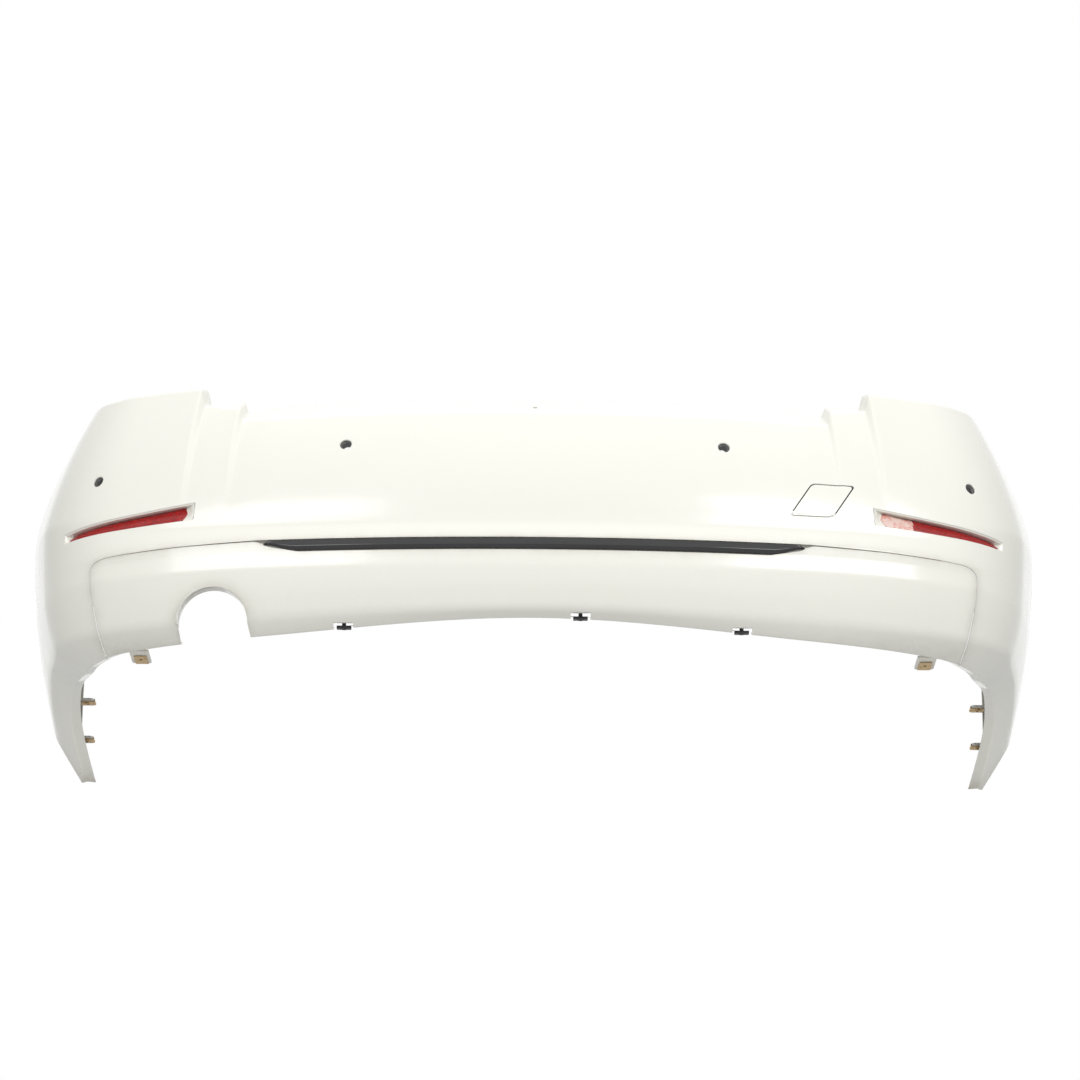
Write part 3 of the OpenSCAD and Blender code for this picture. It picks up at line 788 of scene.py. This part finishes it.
def add_vertex_layers(obj, where):
    """Vertex values: how near each point is to where shade and grime are painted on, and to a painted
    edge.
    """
    values = np.empty(len(obj.data.vertices) * 3)
    obj.data.vertices.foreach_get("co", values)
    points = values.reshape(-1, 3) / MM
    for name, rule in where.items():
        layer = obj.data.attributes.new(name, "FLOAT", "POINT")
        layer.data.foreach_set("value", np.clip(rule(points), 0, 1).astype(np.float32))


def outline_distance(points, outline):
    """Distance in x and z from each point to a closed outline."""
    a = np.array(outline)
    b = np.roll(a, -1, axis=0)
    q = points[:, [0, 2]]
    best = np.full(len(q), 1e9)
    for p0, p1 in zip(a, b):
        d = p1 - p0
        t = np.clip(((q - p0) @ d) / max(d @ d, 1e-9), 0, 1)
        best = np.minimum(best, np.linalg.norm(q - (p0 + t[:, None] * d), axis=1))
    return best


def arch_distance(points):
    return np.hypot(points[:, 1] - ARCH_Y, points[:, 2] + ARCH_DROP) - ARCH_R


OPENING_OUTLINE = both_sides(OPENING, OPENING_CUTS)
PANEL_OUTLINE = both_sides(PANEL, PANEL_CUTS)


def cover_shade_and_grime(p):
    # Painted shade in the groove round the valance and along the arch edge, and darker towards the foot
    # of each leg.
    groove = np.exp(-outline_distance(p, OPENING_OUTLINE) / 5) * 0.55
    arch = np.exp(-np.maximum(arch_distance(p), 0) / 9) * 0.75
    foot = np.exp(-(p[:, 2] + FOOT) / 14) * 0.9
    return np.maximum.reduce([groove, arch, foot])


def cover_mist(p):
    top = np.exp(-np.abs(p[:, 2] - 8) / 26)
    low = np.exp(-outline_distance(p, OPENING_OUTLINE) / 20)
    arch = np.exp(-np.maximum(arch_distance(p), 0) / 30)
    end = np.exp(-np.abs(p[:, 1] - WING_END) / 30)
    foot = np.exp(-(p[:, 2] + FOOT) / 30)
    return np.maximum.reduce([top, low, arch, end, foot])


# Rim behind the flap's edge: its reach outside and inside the edge, and how far down it goes.
# The strip below the hinge is given by its start and end, first down and then along.
RIM_OUT, RIM_IN, RIM_END, RIM_DEPTHS = 6, 3, 18, (-6.4, -4.7)
DEEP_STRIP, DEEP_DEPTHS = (26, 33, -51, 14), (-9, -7.4)
# The flap's hinge along its lower edge, between two ears of the cover
HINGE_DOWN = FLAP_H / 2 - 3
HINGE_SHIFT = -FLAP_LEAN * HINGE_DOWN / FLAP_H
HINGE_DEPTH = 3.5
EAR_AT, EAR_T, EAR_HALF, EAR_DEPTHS = 36.6, 5, 4.5, (-7.5, -2.5)
FIXING_R, FIXING_TILT = 3.5, math.atan2(25, 30)


def flap_seat():
    """Thin frame behind the edge of the towing-eye flap, set deeper below the hinge."""
    here = on_skin(FLAP_S, FLAP_Z)
    rim = extrude("seat", flap_outline(RIM_OUT), *RIM_DEPTHS)
    boolean(rim, extrude("inside", flap_outline(-RIM_IN), -20, 20))
    boolean(rim, extrude("below", rectangle(RIM_END, 60, -90, 90, 0), -20, 20))
    deep = extrude("deep", rectangle(*DEEP_STRIP, 0), *DEEP_DEPTHS)
    for part in (rim, deep):
        for f in part.data.polygons:
            f.material_index = INSIDE
        moved(part, here)
    return join("flap_seat", [rim, deep])


def make_cover():
    cover = shell("cover", PLAN_LENGTH - 2)
    boolean(cover, prism("valance", OPENING_OUTLINE, -150, 130))
    boolean(cover, arch_cutter())
    boolean(cover, box_cutter((-1000, -200, -800), (1000, 900, -FOOT)))
    boolean(cover, box_cutter((-1000, WING_END, -300), (1000, 900, 300)))
    for s, z in SENSORS.values():
        boolean(cover, hole_cutter(on_skin(s, z), SENSOR_HOLE_R))
    boolean(cover, extrude("flap", flap_outline(FLAP_GAP), -12, 8, on_skin(FLAP_S, FLAP_Z)))
    boolean(cover, rod("hole", FIXING_R, -12, 12, Matrix.Rotation(FIXING_TILT, 4, "X")))
    for _, side in SIDES:
        boolean(cover, band("recess", side * (RECESS[0] + 1), side * (RECESS[1] - 1), recess_rows))
    parts = [cover]
    for _, side in SIDES:
        parts.append(band("shelf", side * RECESS[0], side * RECESS[1], shelf_rows))
        parts.append(slant_end(end_patch("inner_end", side, RECESS[0] + 1.0, LENS[0] + 0.5)))
        parts.append(end_patch("outer_end", side, RECESS[1] - 1.0, LENS[1] - 0.5))
    for y in (HINGE_SHIFT - EAR_AT - EAR_T, HINGE_SHIFT + EAR_AT):
        outline = rectangle(HINGE_DOWN - EAR_HALF, HINGE_DOWN + EAR_HALF, y, y + EAR_T)
        parts.append(moved(extrude("ear", outline, *EAR_DEPTHS), on_skin(FLAP_S, FLAP_Z)))
    parts.append(flap_seat())
    cover = join("cover_skin", parts)
    add_vertex_layers(cover, {"shade_and_grime": cover_shade_and_grime, "mist": cover_mist})
    return finish_piece(cover, [PAINT_MAT, INSIDE_MAT], "paint", "bumper_cover")


make_cover()


# ---- Valance -----------------------------------------------------------------------------------

PANEL_LENGTH = 760
EXHAUST_X, EXHAUST_R, EXHAUST_DROP = 487, 54, 353
# How far to the right the lower ends of the cut-out's left and right sides lie
EXHAUST_LEAN, EXHAUST_BELOW = (6, 12), 60
COLLAR_T, COLLAR_DEPTH, COLLAR_TOP = 2.5, 26, -240
TONGUE_HALF, TONGUE_LEVELS, TONGUE_DEPTHS = 640, (-222, -236, -256), (6, 8)
TAB_TILT, TAB_T, TAB_HOLE_R = 15, 3, 3.6
LOWER_TAB = (610, 88, -385)
LOWER_TAB_OUTLINE = rounded([(-15, -27), (15, -27), (15, 14), (-15, 14)], [0, 0, 5, 5])
EDGE_CLIPS = (-287, 71, 316)
NOTCH, NOTCH_DEPTHS = (-15, 15, -20, 40), (-23, 7)
# Level below which shade is painted on the valance's underside, and the level of the paint mist on its
# back
SHADE_LEVEL, MIST_LEVEL = -385, -372


def lower_tab_matrix(side):
    x, y, z = LOWER_TAB
    return Matrix.Translation((side * x, y, z)) @ Matrix.Rotation(math.radians(-TAB_TILT), 4, "X")


def tab_with_hole(outline, matrix):
    """Flat screw tab with a hole at its own centre."""
    tab = extrude("tab", outline, -TAB_T / 2, TAB_T / 2)
    boolean(tab, rod("hole", TAB_HOLE_R, -9, 9))
    return moved(tab, matrix)


def edge_clip_matrix(x):
    inset, z = rail("low", x)
    return Matrix.Translation((x, plan(x)[1] + inset, z))


def exhaust_outline():
    arc = [(-EXHAUST_X + EXHAUST_R * math.cos(a), -EXHAUST_DROP + EXHAUST_R * math.sin(a))
           for a in np.linspace(0, math.pi, 49)]
    left, right = -EXHAUST_X - EXHAUST_R, -EXHAUST_X + EXHAUST_R
    low = -EXHAUST_DROP - EXHAUST_BELOW
    return arc + [(left + EXHAUST_LEAN[0], low), (right + EXHAUST_LEAN[1], low)]


def tongue_rows(s):
    """Edge of the panel behind the main cover, which closes the groove from behind."""
    return [(z, *TONGUE_DEPTHS) for z in TONGUE_LEVELS]


def collar():
    """Turned-in rim over the exhaust cut-out."""
    x, z = -EXHAUST_X, -EXHAUST_DROP
    sides = {EXHAUST_R: [], EXHAUST_R + COLLAR_T: []}
    for a in np.linspace(0, math.pi, 49):
        c, s = math.cos(a), math.sin(a)
        y = skin(x, min(z + EXHAUST_R * s, COLLAR_TOP), 1.0)[1]
        for r, rows in sides.items():
            rows.append([(x + r * c, edge, z + r * s) for edge in (y, y + COLLAR_DEPTH)])
    return tidy(sheet("collar", *sides.values()))


def panel_shade_and_grime(p):
    # Painted shade along the groove and on the underside along the lower edge, and darker round the
    # exhaust cut-out.
    groove = np.exp(-outline_distance(p, PANEL_OUTLINE) / 5) * 0.5
    exhaust = np.exp(-np.abs(np.hypot(p[:, 0] + EXHAUST_X, p[:, 2] + EXHAUST_DROP) - EXHAUST_R) / 8)
    low = np.exp(-np.maximum(p[:, 2] - SHADE_LEVEL, 0) / 12) * 0.6
    return np.maximum.reduce([groove, exhaust * 0.6, low])


def panel_mist(p):
    low = np.exp(-np.abs(p[:, 2] - MIST_LEVEL) / 24)
    return np.maximum(low, np.exp(-outline_distance(p, PANEL_OUTLINE) / 18))


def make_valance():
    panel = shell("panel", PANEL_LENGTH)
    boolean(panel, prism("outline", PANEL_OUTLINE, -150, 130), "INTERSECT")
    boolean(panel, prism("exhaust", exhaust_outline(), -150, 50))
    for x in EDGE_CLIPS:
        notch = extrude("notch", rectangle(*NOTCH, 0), *NOTCH_DEPTHS, edge_clip_matrix(x))
        boolean(panel, notch)
    parts = [panel, collar(), band("tongue", -TONGUE_HALF, TONGUE_HALF, tongue_rows, 8)]
    for _, side in SIDES:
        parts.append(tab_with_hole(LOWER_TAB_OUTLINE, lower_tab_matrix(side)))
    panel = join("valance", parts)
    add_vertex_layers(panel, {"shade_and_grime": panel_shade_and_grime, "mist": panel_mist})
    return finish_piece(panel, [PAINT_MAT, INSIDE_MAT], "paint", "valance_panel")


make_valance()


# ---- Trim strip --------------------------------------------------------------------------------

STRIP_HALF, STRIP_TAPER, STRIP_NOSE, STRIP_BACK = 413, 52, 8, 5
# Levels of its edges, and how far each closes in at the ends
STRIP_TOP, STRIP_FALL, STRIP_LOW, STRIP_RISE = -230, 4.5, -246.5, 10.5
# Share of the height from the top edge, and depth behind the skin, at the full section
STRIP_SECTION = [(0.0, 1.6), (0.03, 0.6), (0.10, 0.1), (0.35, -0.9), (0.56, -1.75), (0.62, -1.95),
                 (0.68, -1.7), (0.86, -0.3), (0.96, 0.6), (1.0, 1.7)]


def strip_rows(s):
    a = abs(s)
    top = STRIP_TOP - STRIP_FALL * ramp(a, STRIP_HALF - STRIP_NOSE, STRIP_HALF)
    low = STRIP_LOW + STRIP_RISE * ramp(a, STRIP_HALF - STRIP_TAPER, STRIP_HALF)
    return [(top + (low - top) * f, d, STRIP_BACK) for f, d in STRIP_SECTION]


finish_piece(band("strip", -STRIP_HALF, STRIP_HALF, strip_rows, 3.5), [GLOSS], "gloss_black",
             "trim_strip", angle=40)


# ---- Reflectors --------------------------------------------------------------------------------

LENS_ROWS = 9
LENS_ROUND = 3.0
# Height of the crown, fall of the edge, and share of the lens's height that the edge takes
LENS_CROWN, LENS_FALL, LENS_EDGE = 0.5, 1.3, 1 / 14
# Painted glare on the right lens reaches from its inner end to here
GLARE_TO = 592


def lens_rows(s):
    """Crowned face of a lens; its ends are rounded in height."""
    top, low = recess_at(RECESS_TOP, s) - SHELF_T - 1, recess_at(RECESS_LOW, s) + 1
    near = min(abs(s) - LENS[0], LENS[1] - abs(s))
    pull = LENS_ROUND * (1 - math.sqrt(max(0, 1 - (1 - min(1, max(0, near) / LENS_ROUND))**2)))
    top, low = top - pull, low + pull
    rows = []
    for f in np.linspace(0, 1, LENS_ROWS):
        edge = max(0, 1 - min(f, 1 - f) / LENS_EDGE)
        crown = LENS_CROWN * 4 * f * (1 - f)
        rows.append((top + (low - top) * f, lens_depth(f) - crown + LENS_FALL * edge**2,
                     lens_depth(f) + LENS_T))
    return rows


def make_lens(name, side):
    lens = band("lens_" + name, side * LENS[0], side * LENS[1], lens_rows, 2.5)
    mats = [RED]
    if side > 0:
        # The inner end of the right lens gets the pale patch of painted glare
        mats.append(GLARE_PATCH)
        for f in lens.data.polygons:
            x = sum(lens.data.vertices[v].co.x for v in f.vertices) / len(f.vertices)
            f.material_index = 1 if x < plan(GLARE_TO)[0] * MM else 0
    slant_end(lens)
    finish_piece(lens, mats, "red_reflector", "reflector_lens_" + name, angle=50)


for lens_name, lens_side in SIDES:
    make_lens(lens_name, lens_side)


# ---- Towing-eye flap ---------------------------------------------------------------------------

PLATE_HALF, PLATE_TOP, PLATE_LOW = 62, -118, -186
PLATE_CUTS = (7, 7, 12, 7)
PIN_R, PIN_HALF, BARREL_R, BARREL_HALF = 1.2, 40, 2.3, 25
LATCH_IN, LATCH_T, LATCH_SPAN, LATCH_DEPTHS = 4, 3, (9, 29), (-9, -2)
RIBS_AT, RIB_SPAN, RIB_HALF, RIB_DEPTHS = (-14, 0, 14), (-17, 18), 0.7, (-5.5, -2.6)


def make_flap():
    """Plate cut from the skin, with a barrel and pin along its lower edge, ribs and a latch."""
    rows = [(z, 0.0, WALL) for z in np.linspace(PLATE_TOP, PLATE_LOW, 25)]
    plate = band("plate", FLAP_S - PLATE_HALF, FLAP_S + PLATE_HALF, lambda s: rows, 4, INSIDE)
    here = on_skin(FLAP_S, FLAP_Z)
    boolean(plate, extrude("outline", flap_outline(0, PLATE_CUTS), -12, 12, here), "INTERSECT")
    hinge = (here @ Matrix.Translation((HINGE_DOWN, HINGE_SHIFT, -HINGE_DEPTH))
             @ Matrix.Rotation(-math.pi / 2, 4, "X"))
    parts = [plate, rod("pin", PIN_R, -PIN_HALF, PIN_HALF, hinge, 32),
             rod("barrel", BARREL_R, -BARREL_HALF, BARREL_HALF, hinge, 40)]
    top = LATCH_IN - FLAP_H / 2
    latch = extrude("latch", rectangle(top, top + LATCH_T, *LATCH_SPAN, 0.8), *LATCH_DEPTHS)
    parts.append(moved(latch, here))
    turn = Matrix.Rotation(-math.atan2(FLAP_LEAN, FLAP_H), 4, "Z")
    for y in RIBS_AT:
        rib = extrude("rib", rectangle(*RIB_SPAN, -RIB_HALF, RIB_HALF, 0), *RIB_DEPTHS)
        parts.append(moved(rib, here @ Matrix.Translation((0, y, 0)) @ turn))
    flap = join("towing_eye_flap", parts)
    add_vertex_layers(flap, {"shade_and_grime": lambda p: np.zeros(len(p)), "mist": lambda p: np.full(len(p), 0.5)})
    finish_piece(flap, [PAINT_MAT, INSIDE_MAT], "paint", "tow_flap", body="flap")


make_flap()


# ---- Parking-sensor holders --------------------------------------------------------------------

# Levels are distances in front of the skin, so those behind it are negative
HOLDER_FRONT, FLANGE_BACK, HOLDER_BACK = -4.6, -6.6, -18.6
FLANGE_R, SLEEVE_R = 19, 11.5


def make_holder(name, s, z):
    """Lathed ring with a chamfered mouth, two latch arms and four ribs round the barrel."""
    here = on_skin(s, z)
    r = SENSOR_SEAT_R
    flange = [(r + 1.2, HOLDER_FRONT), (FLANGE_R - 0.6, HOLDER_FRONT),
              (FLANGE_R, HOLDER_FRONT - 0.6), (FLANGE_R, FLANGE_BACK)]
    sleeve = [(SLEEVE_R + 0.7, FLANGE_BACK), (SLEEVE_R, FLANGE_BACK - 0.8),
              (SLEEVE_R, HOLDER_BACK + 1.0), (SLEEVE_R - 0.9, HOLDER_BACK),
              (r + 0.6, HOLDER_BACK), (r, HOLDER_BACK + 0.6), (r, HOLDER_FRONT - 1.2)]
    parts = [lathe("ring", flange + sleeve, here, 64)]
    for k in range(2):
        side = 1 - 2 * k
        arm = rounded([(-4, 10.5 * side), (4, 10.5 * side), (4, 15.4 * side), (-4, 15.4 * side)],
                      [0, 0, 1, 1])
        parts.append(bevel(extrude("arm", arm, -18.4, -6), 0.4))
    for k in range(4):
        a = math.radians(45 + 90 * k)
        rib = extrude("rib", rectangle(10.5, 16.5, -0.8, 0.8), -11, -6)
        parts.append(moved(rib, Matrix.Rotation(a, 4, "Z")))
    for p in parts[1:]:
        moved(p, here)
    # Spring tongues inside the mouth, which show through the hole in the skin
    for k in range(3):
        a = math.radians(90 + 120 * k)
        tongue = extrude("tongue", rectangle(6.3, 8.2, -2.4, 2.4, 0.5), -9.5, -6.0)
        parts.append(moved(tongue, here @ Matrix.Rotation(a, 4, "Z")))
    holder = join("holder_" + name, parts)
    finish_piece(holder, [GREY], "dark_plastic", "sensor_holder_" + name, angle=35)


for sensor_name, (sensor_s, sensor_z) in SENSORS.items():
    make_holder(sensor_name, sensor_s, sensor_z)


# ---- Wheel-arch lips ---------------------------------------------------------------------------

LIP_T, LIP_GAP, LIP_TOP = 2.5, 2.5, -120
# Inner edge of the lip: its x above the bend, and at the foot
LIP_X, LIP_FOOT_X, LIP_BEND = 777, 757, -420
ARCH_TAB_X, ARCH_TAB_Z, ARCH_TAB_BACK = 767, (-377, -441), 12
ARCH_TAB_OUTLINE = rounded([(-13, -22), (11, -22), (11, 12), (-13, 12)], [3, 3, 5, 5])


def arch_y(z, r):
    return ARCH_Y - math.sqrt(r * r - (z + ARCH_DROP)**2)


def side_x(y, z, depth):
    """x of the skin on the right side, at a given y and z, at a depth inside it."""
    s0 = side_s(y)
    inset = skin_inset(s0, z) + depth
    s1 = side_s(y - inset * plan(s0)[3])
    return skin(s1, z, depth)[0]


LIP_COLUMNS = [0, 0.2, 0.4, 0.6, 0.8, 0.92, 0.96, 1]


def lip_edges(y, z):
    """x of the inner and the outer edge of the lip."""
    inner = LIP_X - (LIP_X - LIP_FOOT_X) * ramp(-z, -LIP_BEND, FOOT)
    return inner, side_x(y, z, WALL + LIP_GAP)


def lip_row(z, r):
    y = arch_y(z, r)
    inner, outer = lip_edges(y, z)
    return [(inner + (outer - inner) * f, y, z) for f in LIP_COLUMNS]


def arch_tab_matrix(z):
    y = arch_y(z, ARCH_R) - ARCH_TAB_BACK
    return (Matrix.Translation((ARCH_TAB_X, y, z)) @ Matrix.Rotation(math.radians(-TAB_TILT), 4, "X")
            @ Matrix.Rotation(math.pi / 2, 4, "Z"))


def lip_shade_and_grime(p):
    """Painted shade in the joint with the main cover; the lip is darker all over, more so towards the
    foot.
    """
    joint = []
    for x, y, z in p:
        inner, outer = lip_edges(y, z)
        joint.append(ramp((x - inner) / (outer - inner), 0.93, 0.97))
    return np.clip(np.maximum(joint, 0.25 + 0.5 * np.exp(-(p[:, 2] + FOOT) / 30)), 0, 1)


def make_lip():
    levels = np.linspace(4 - FOOT, LIP_TOP, 90)
    lip = tidy(sheet("lip", [lip_row(z, ARCH_R + LIP_T) for z in levels],
                     [lip_row(z, ARCH_R) for z in levels]))
    parts = [lip]
    for z in ARCH_TAB_Z:
        parts.append(tab_with_hole(ARCH_TAB_OUTLINE, arch_tab_matrix(z)))
    lip = join("wheel_arch_lip_right", parts)
    add_vertex_layers(lip, {"shade_and_grime": lip_shade_and_grime})
    twin = mirrored(lip, "wheel_arch_lip_left")
    finish_piece(lip, [PAINT_MAT], "paint", "arch_lip_right", angle=40)
    finish_piece(twin, [PAINT_MAT], "paint", "arch_lip_left", angle=40)


make_lip()


# ---- Clip nuts ---------------------------------------------------------------------------------

LEAF_T, LEAF_GAP, BOSS_R, BOSS_H, NUT_R = 0.9, 0.2, 4.6, 2.4, 2.4
LEAD, FLARE = 1.6, 1.0
# Width, and reach behind and in front of the thread
LOWER_NUT, ARCH_NUT = (20, 11, 14), (15, 8, 12)


def clip_nut(name, w, back, front):
    """Bent sheet round the free end of a tab, with a rolled thread on one leaf."""
    near = TAB_T / 2 + LEAF_GAP
    far = near + LEAF_T
    bend = [(front + LEAF_GAP + near * math.cos(a) * 0.35, near * math.sin(a))
            for a in np.linspace(-math.pi / 2, math.pi / 2, 9)]
    round_out = [(front + LEAF_GAP + (near * 0.35 + LEAF_T) * math.cos(a), far * math.sin(a))
                 for a in np.linspace(math.pi / 2, -math.pi / 2, 13)]
    end = -back - LEAD
    section = ([(-back, -near)] + bend
               + [(-back, near), (end, near + FLARE), (end, far + FLARE), (-back, far)] + round_out
               + [(-back, -far), (end, -far - FLARE), (end, -near - FLARE)])
    stand = Matrix(((0, 0, 1, 0), (1, 0, 0, 0), (0, 1, 0, 0), (0, 0, 0, 1)))
    body = extrude("leaf", section, -w / 2 + 0.1, w / 2 - 0.1, stand)
    boolean(body, rod("hole", NUT_R + 0.5, -20, 20))
    thread = []
    for k in range(7):
        z = near + 0.1 + k * (BOSS_H - 0.2) / 6
        thread.append((NUT_R if k % 2 else NUT_R + 0.35, z))
    boss = lathe("boss", thread + [(BOSS_R - 0.5, near + BOSS_H), (BOSS_R, near + BOSS_H - 0.6),
                                   (BOSS_R, near + 0.1)], None, 40)
    rim = lathe("rim", [(NUT_R, -near), (NUT_R, -far), (NUT_R + 0.9, -far - 0.05),
                        (NUT_R + 1.2, -far + 0.3), (NUT_R + 1.2, -near)], None, 40)
    return join(name, [body, boss, rim])


def nut_mesh(name, w, back, front, matrix):
    return moved(clip_nut(name, w, back, front), matrix)


FLIP = Matrix.Scale(-1, 4, (0, 0, 1))
for nut_name, nut_side in SIDES:
    piece = nut_mesh("lower_clip_nut_" + nut_name, *LOWER_NUT, lower_tab_matrix(nut_side))
    finish_piece(piece, [ZINC], "zinc", "lower_nut_" + nut_name, angle=35)
arch_nuts = join("arch_clip_nuts_right",
                 [nut_mesh("nut", *ARCH_NUT, arch_tab_matrix(z) @ FLIP) for z in ARCH_TAB_Z])
arch_nuts_twin = mirrored(arch_nuts, "arch_clip_nuts_left")
finish_piece(arch_nuts, [ZINC], "zinc", "arch_nuts_right", angle=35)
finish_piece(arch_nuts_twin, [ZINC], "zinc", "arch_nuts_left", angle=35)


# ---- Clips of the lower edge -------------------------------------------------------------------

def edge_clip(x):
    """Flat head with a raised ring, and a split shank with barbs."""
    here = edge_clip_matrix(x) @ Matrix.Translation((0, 9, 0))
    head = extrude("head", rectangle(-11, 11, -6, 6, 2.2), 1.2, 5.4)
    boolean(head, rod("hole", 4.2, -5, 20))
    bevel(head, 0.5)
    ring = lathe("ring", [(NUT_R, 0.7), (3.0, 0.5), (5.2, 0.6), (5.6, 1.2), (5.6, 2.2), (NUT_R, 2.2)],
                 None, 40)
    barbs = [(NUT_R, 2.0), (3.3, 2.0)]
    for k in range(4):
        z = 6.0 + k * 1.8
        barbs += [(2.9, z), (3.3, z + 1.2), (3.0, z + 1.3)]
    barbs += [(2.6, 13.9), (NUT_R, 13.9)]
    shank = lathe("shank", barbs, None, 32)
    plate = lathe("plate", [(3.2, 2.1), (4.3, 2.1), (4.3, 5.2), (3.2, 5.2)], None, 32)
    return moved(join("clip", [head, ring, shank, plate]), here)


finish_piece(join("lower_edge_clips", [edge_clip(x) for x in EDGE_CLIPS]), [BLACK], "black_clip",
             "edge_clips", angle=35)


# ---- CAD pieces that keep their own shape ------------------------------------------------------

KEPT = {"reflector_back_left": DARK, "reflector_back_right": DARK,
        "reflector_clips_left": SPRING, "reflector_clips_right": SPRING,
        "strip_clips": SPRING, "valance_clips": SPRING}
for kept_name, kept_mat in KEPT.items():
    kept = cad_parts[kept_name]
    kept.data.materials.clear()
    kept.data.materials.append(kept_mat)


# ---- Floor, light and camera -------------------------------------------------------------------

low_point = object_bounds()[0]
FLOOR_Z = low_point[2] - 1.0
FLOOR_HALF, FLOOR_BACK = 9000, 2000
FLOOR_TONES = (0.56, 0.60)


def stage_material():
    mat, t, bsdf = material("white_floor")
    tone = mix(t, noise(t, 0.8, 2), *[(v, v, v, 1) for v in FLOOR_TONES])
    wire(t, bsdf, Base_Color=tone, Roughness=0.9)
    return mat


floor = new_object("floor", [(x * FLOOR_HALF, y * FLOOR_HALF + FLOOR_BACK, FLOOR_Z / MM)
                             for x, y in ((-1, -1), (1, -1), (1, 1), (-1, 1))], [(0, 1, 2, 3)])
floor.data.materials.append(stage_material())


def area_light(name, place_at, target, size, power):
    data = bpy.data.lights.new(name, "AREA")
    data.shape = "RECTANGLE"
    data.size, data.size_y = size
    data.energy = power
    obj = bpy.data.objects.new(name, data)
    obj.location = place_at
    obj.rotation_euler = (Vector(target) - Vector(place_at)).to_track_quat("-Z", "Y").to_euler()
    bpy.context.scene.collection.objects.link(obj)
    return obj


area_light("key", (2.3, -3.0, 1.5), (0.2, 0, -0.15), (2.0, 1.4), 40)
area_light("fill", (-2.0, -3.0, 1.2), (-0.2, 0, -0.15), (1.8, 1.4), 24)
area_light("top", (0, 0.2, 2.6), (0, 0, 0), (3.0, 1.6), 18)


# Where the world's strength starts and ends to fade, and the least that it falls to
SIDE_FADE, SIDE_STRENGTH = (0.28, 0.95), 0.42
LOW_FADE, LOW_STRENGTH = (-0.6, -0.02), 0.5


def white_room():
    """White all round, fading to grey on both sides and below."""
    world = bpy.data.worlds.new("white_room")
    world.use_nodes = True
    t = world.node_tree
    way = node(t, "SeparateXYZ", {"Vector": node(t, "TexCoord").outputs["Generated"]})
    aside = maths(t, "ABSOLUTE", way.outputs["X"])
    strength = maths(t, "MULTIPLY", span(t, aside, *SIDE_FADE, 1.0, SIDE_STRENGTH, True),
                     span(t, way.outputs["Z"], *LOW_FADE, LOW_STRENGTH, 1.0, True))
    back = t.nodes["Background"]
    back.inputs["Color"].default_value = (1, 1, 1, 1)
    t.links.new(strength, back.inputs["Strength"])
    bpy.context.scene.world = world


white_room()
bpy.context.scene.view_settings.view_transform = "Standard"

# In metres and degrees: below the cover and behind the car, looking up at it
CAMERA_AT, CAMERA_TURN = (0.001, -3.556, -1.144), (104.68, -0.42, -0.24)
CAMERA_LENS, CAMERA_SENSOR, CAMERA_FAR = 79.6, 36, 60

camera_data = bpy.data.cameras.new("camera")
camera_data.lens = CAMERA_LENS
camera_data.sensor_width = CAMERA_SENSOR
camera_data.clip_end = CAMERA_FAR
camera = bpy.data.objects.new("camera", camera_data)
camera.location = CAMERA_AT
camera.rotation_euler = [math.radians(a) for a in CAMERA_TURN]
bpy.context.scene.collection.objects.link(camera)
bpy.context.scene.camera = camera
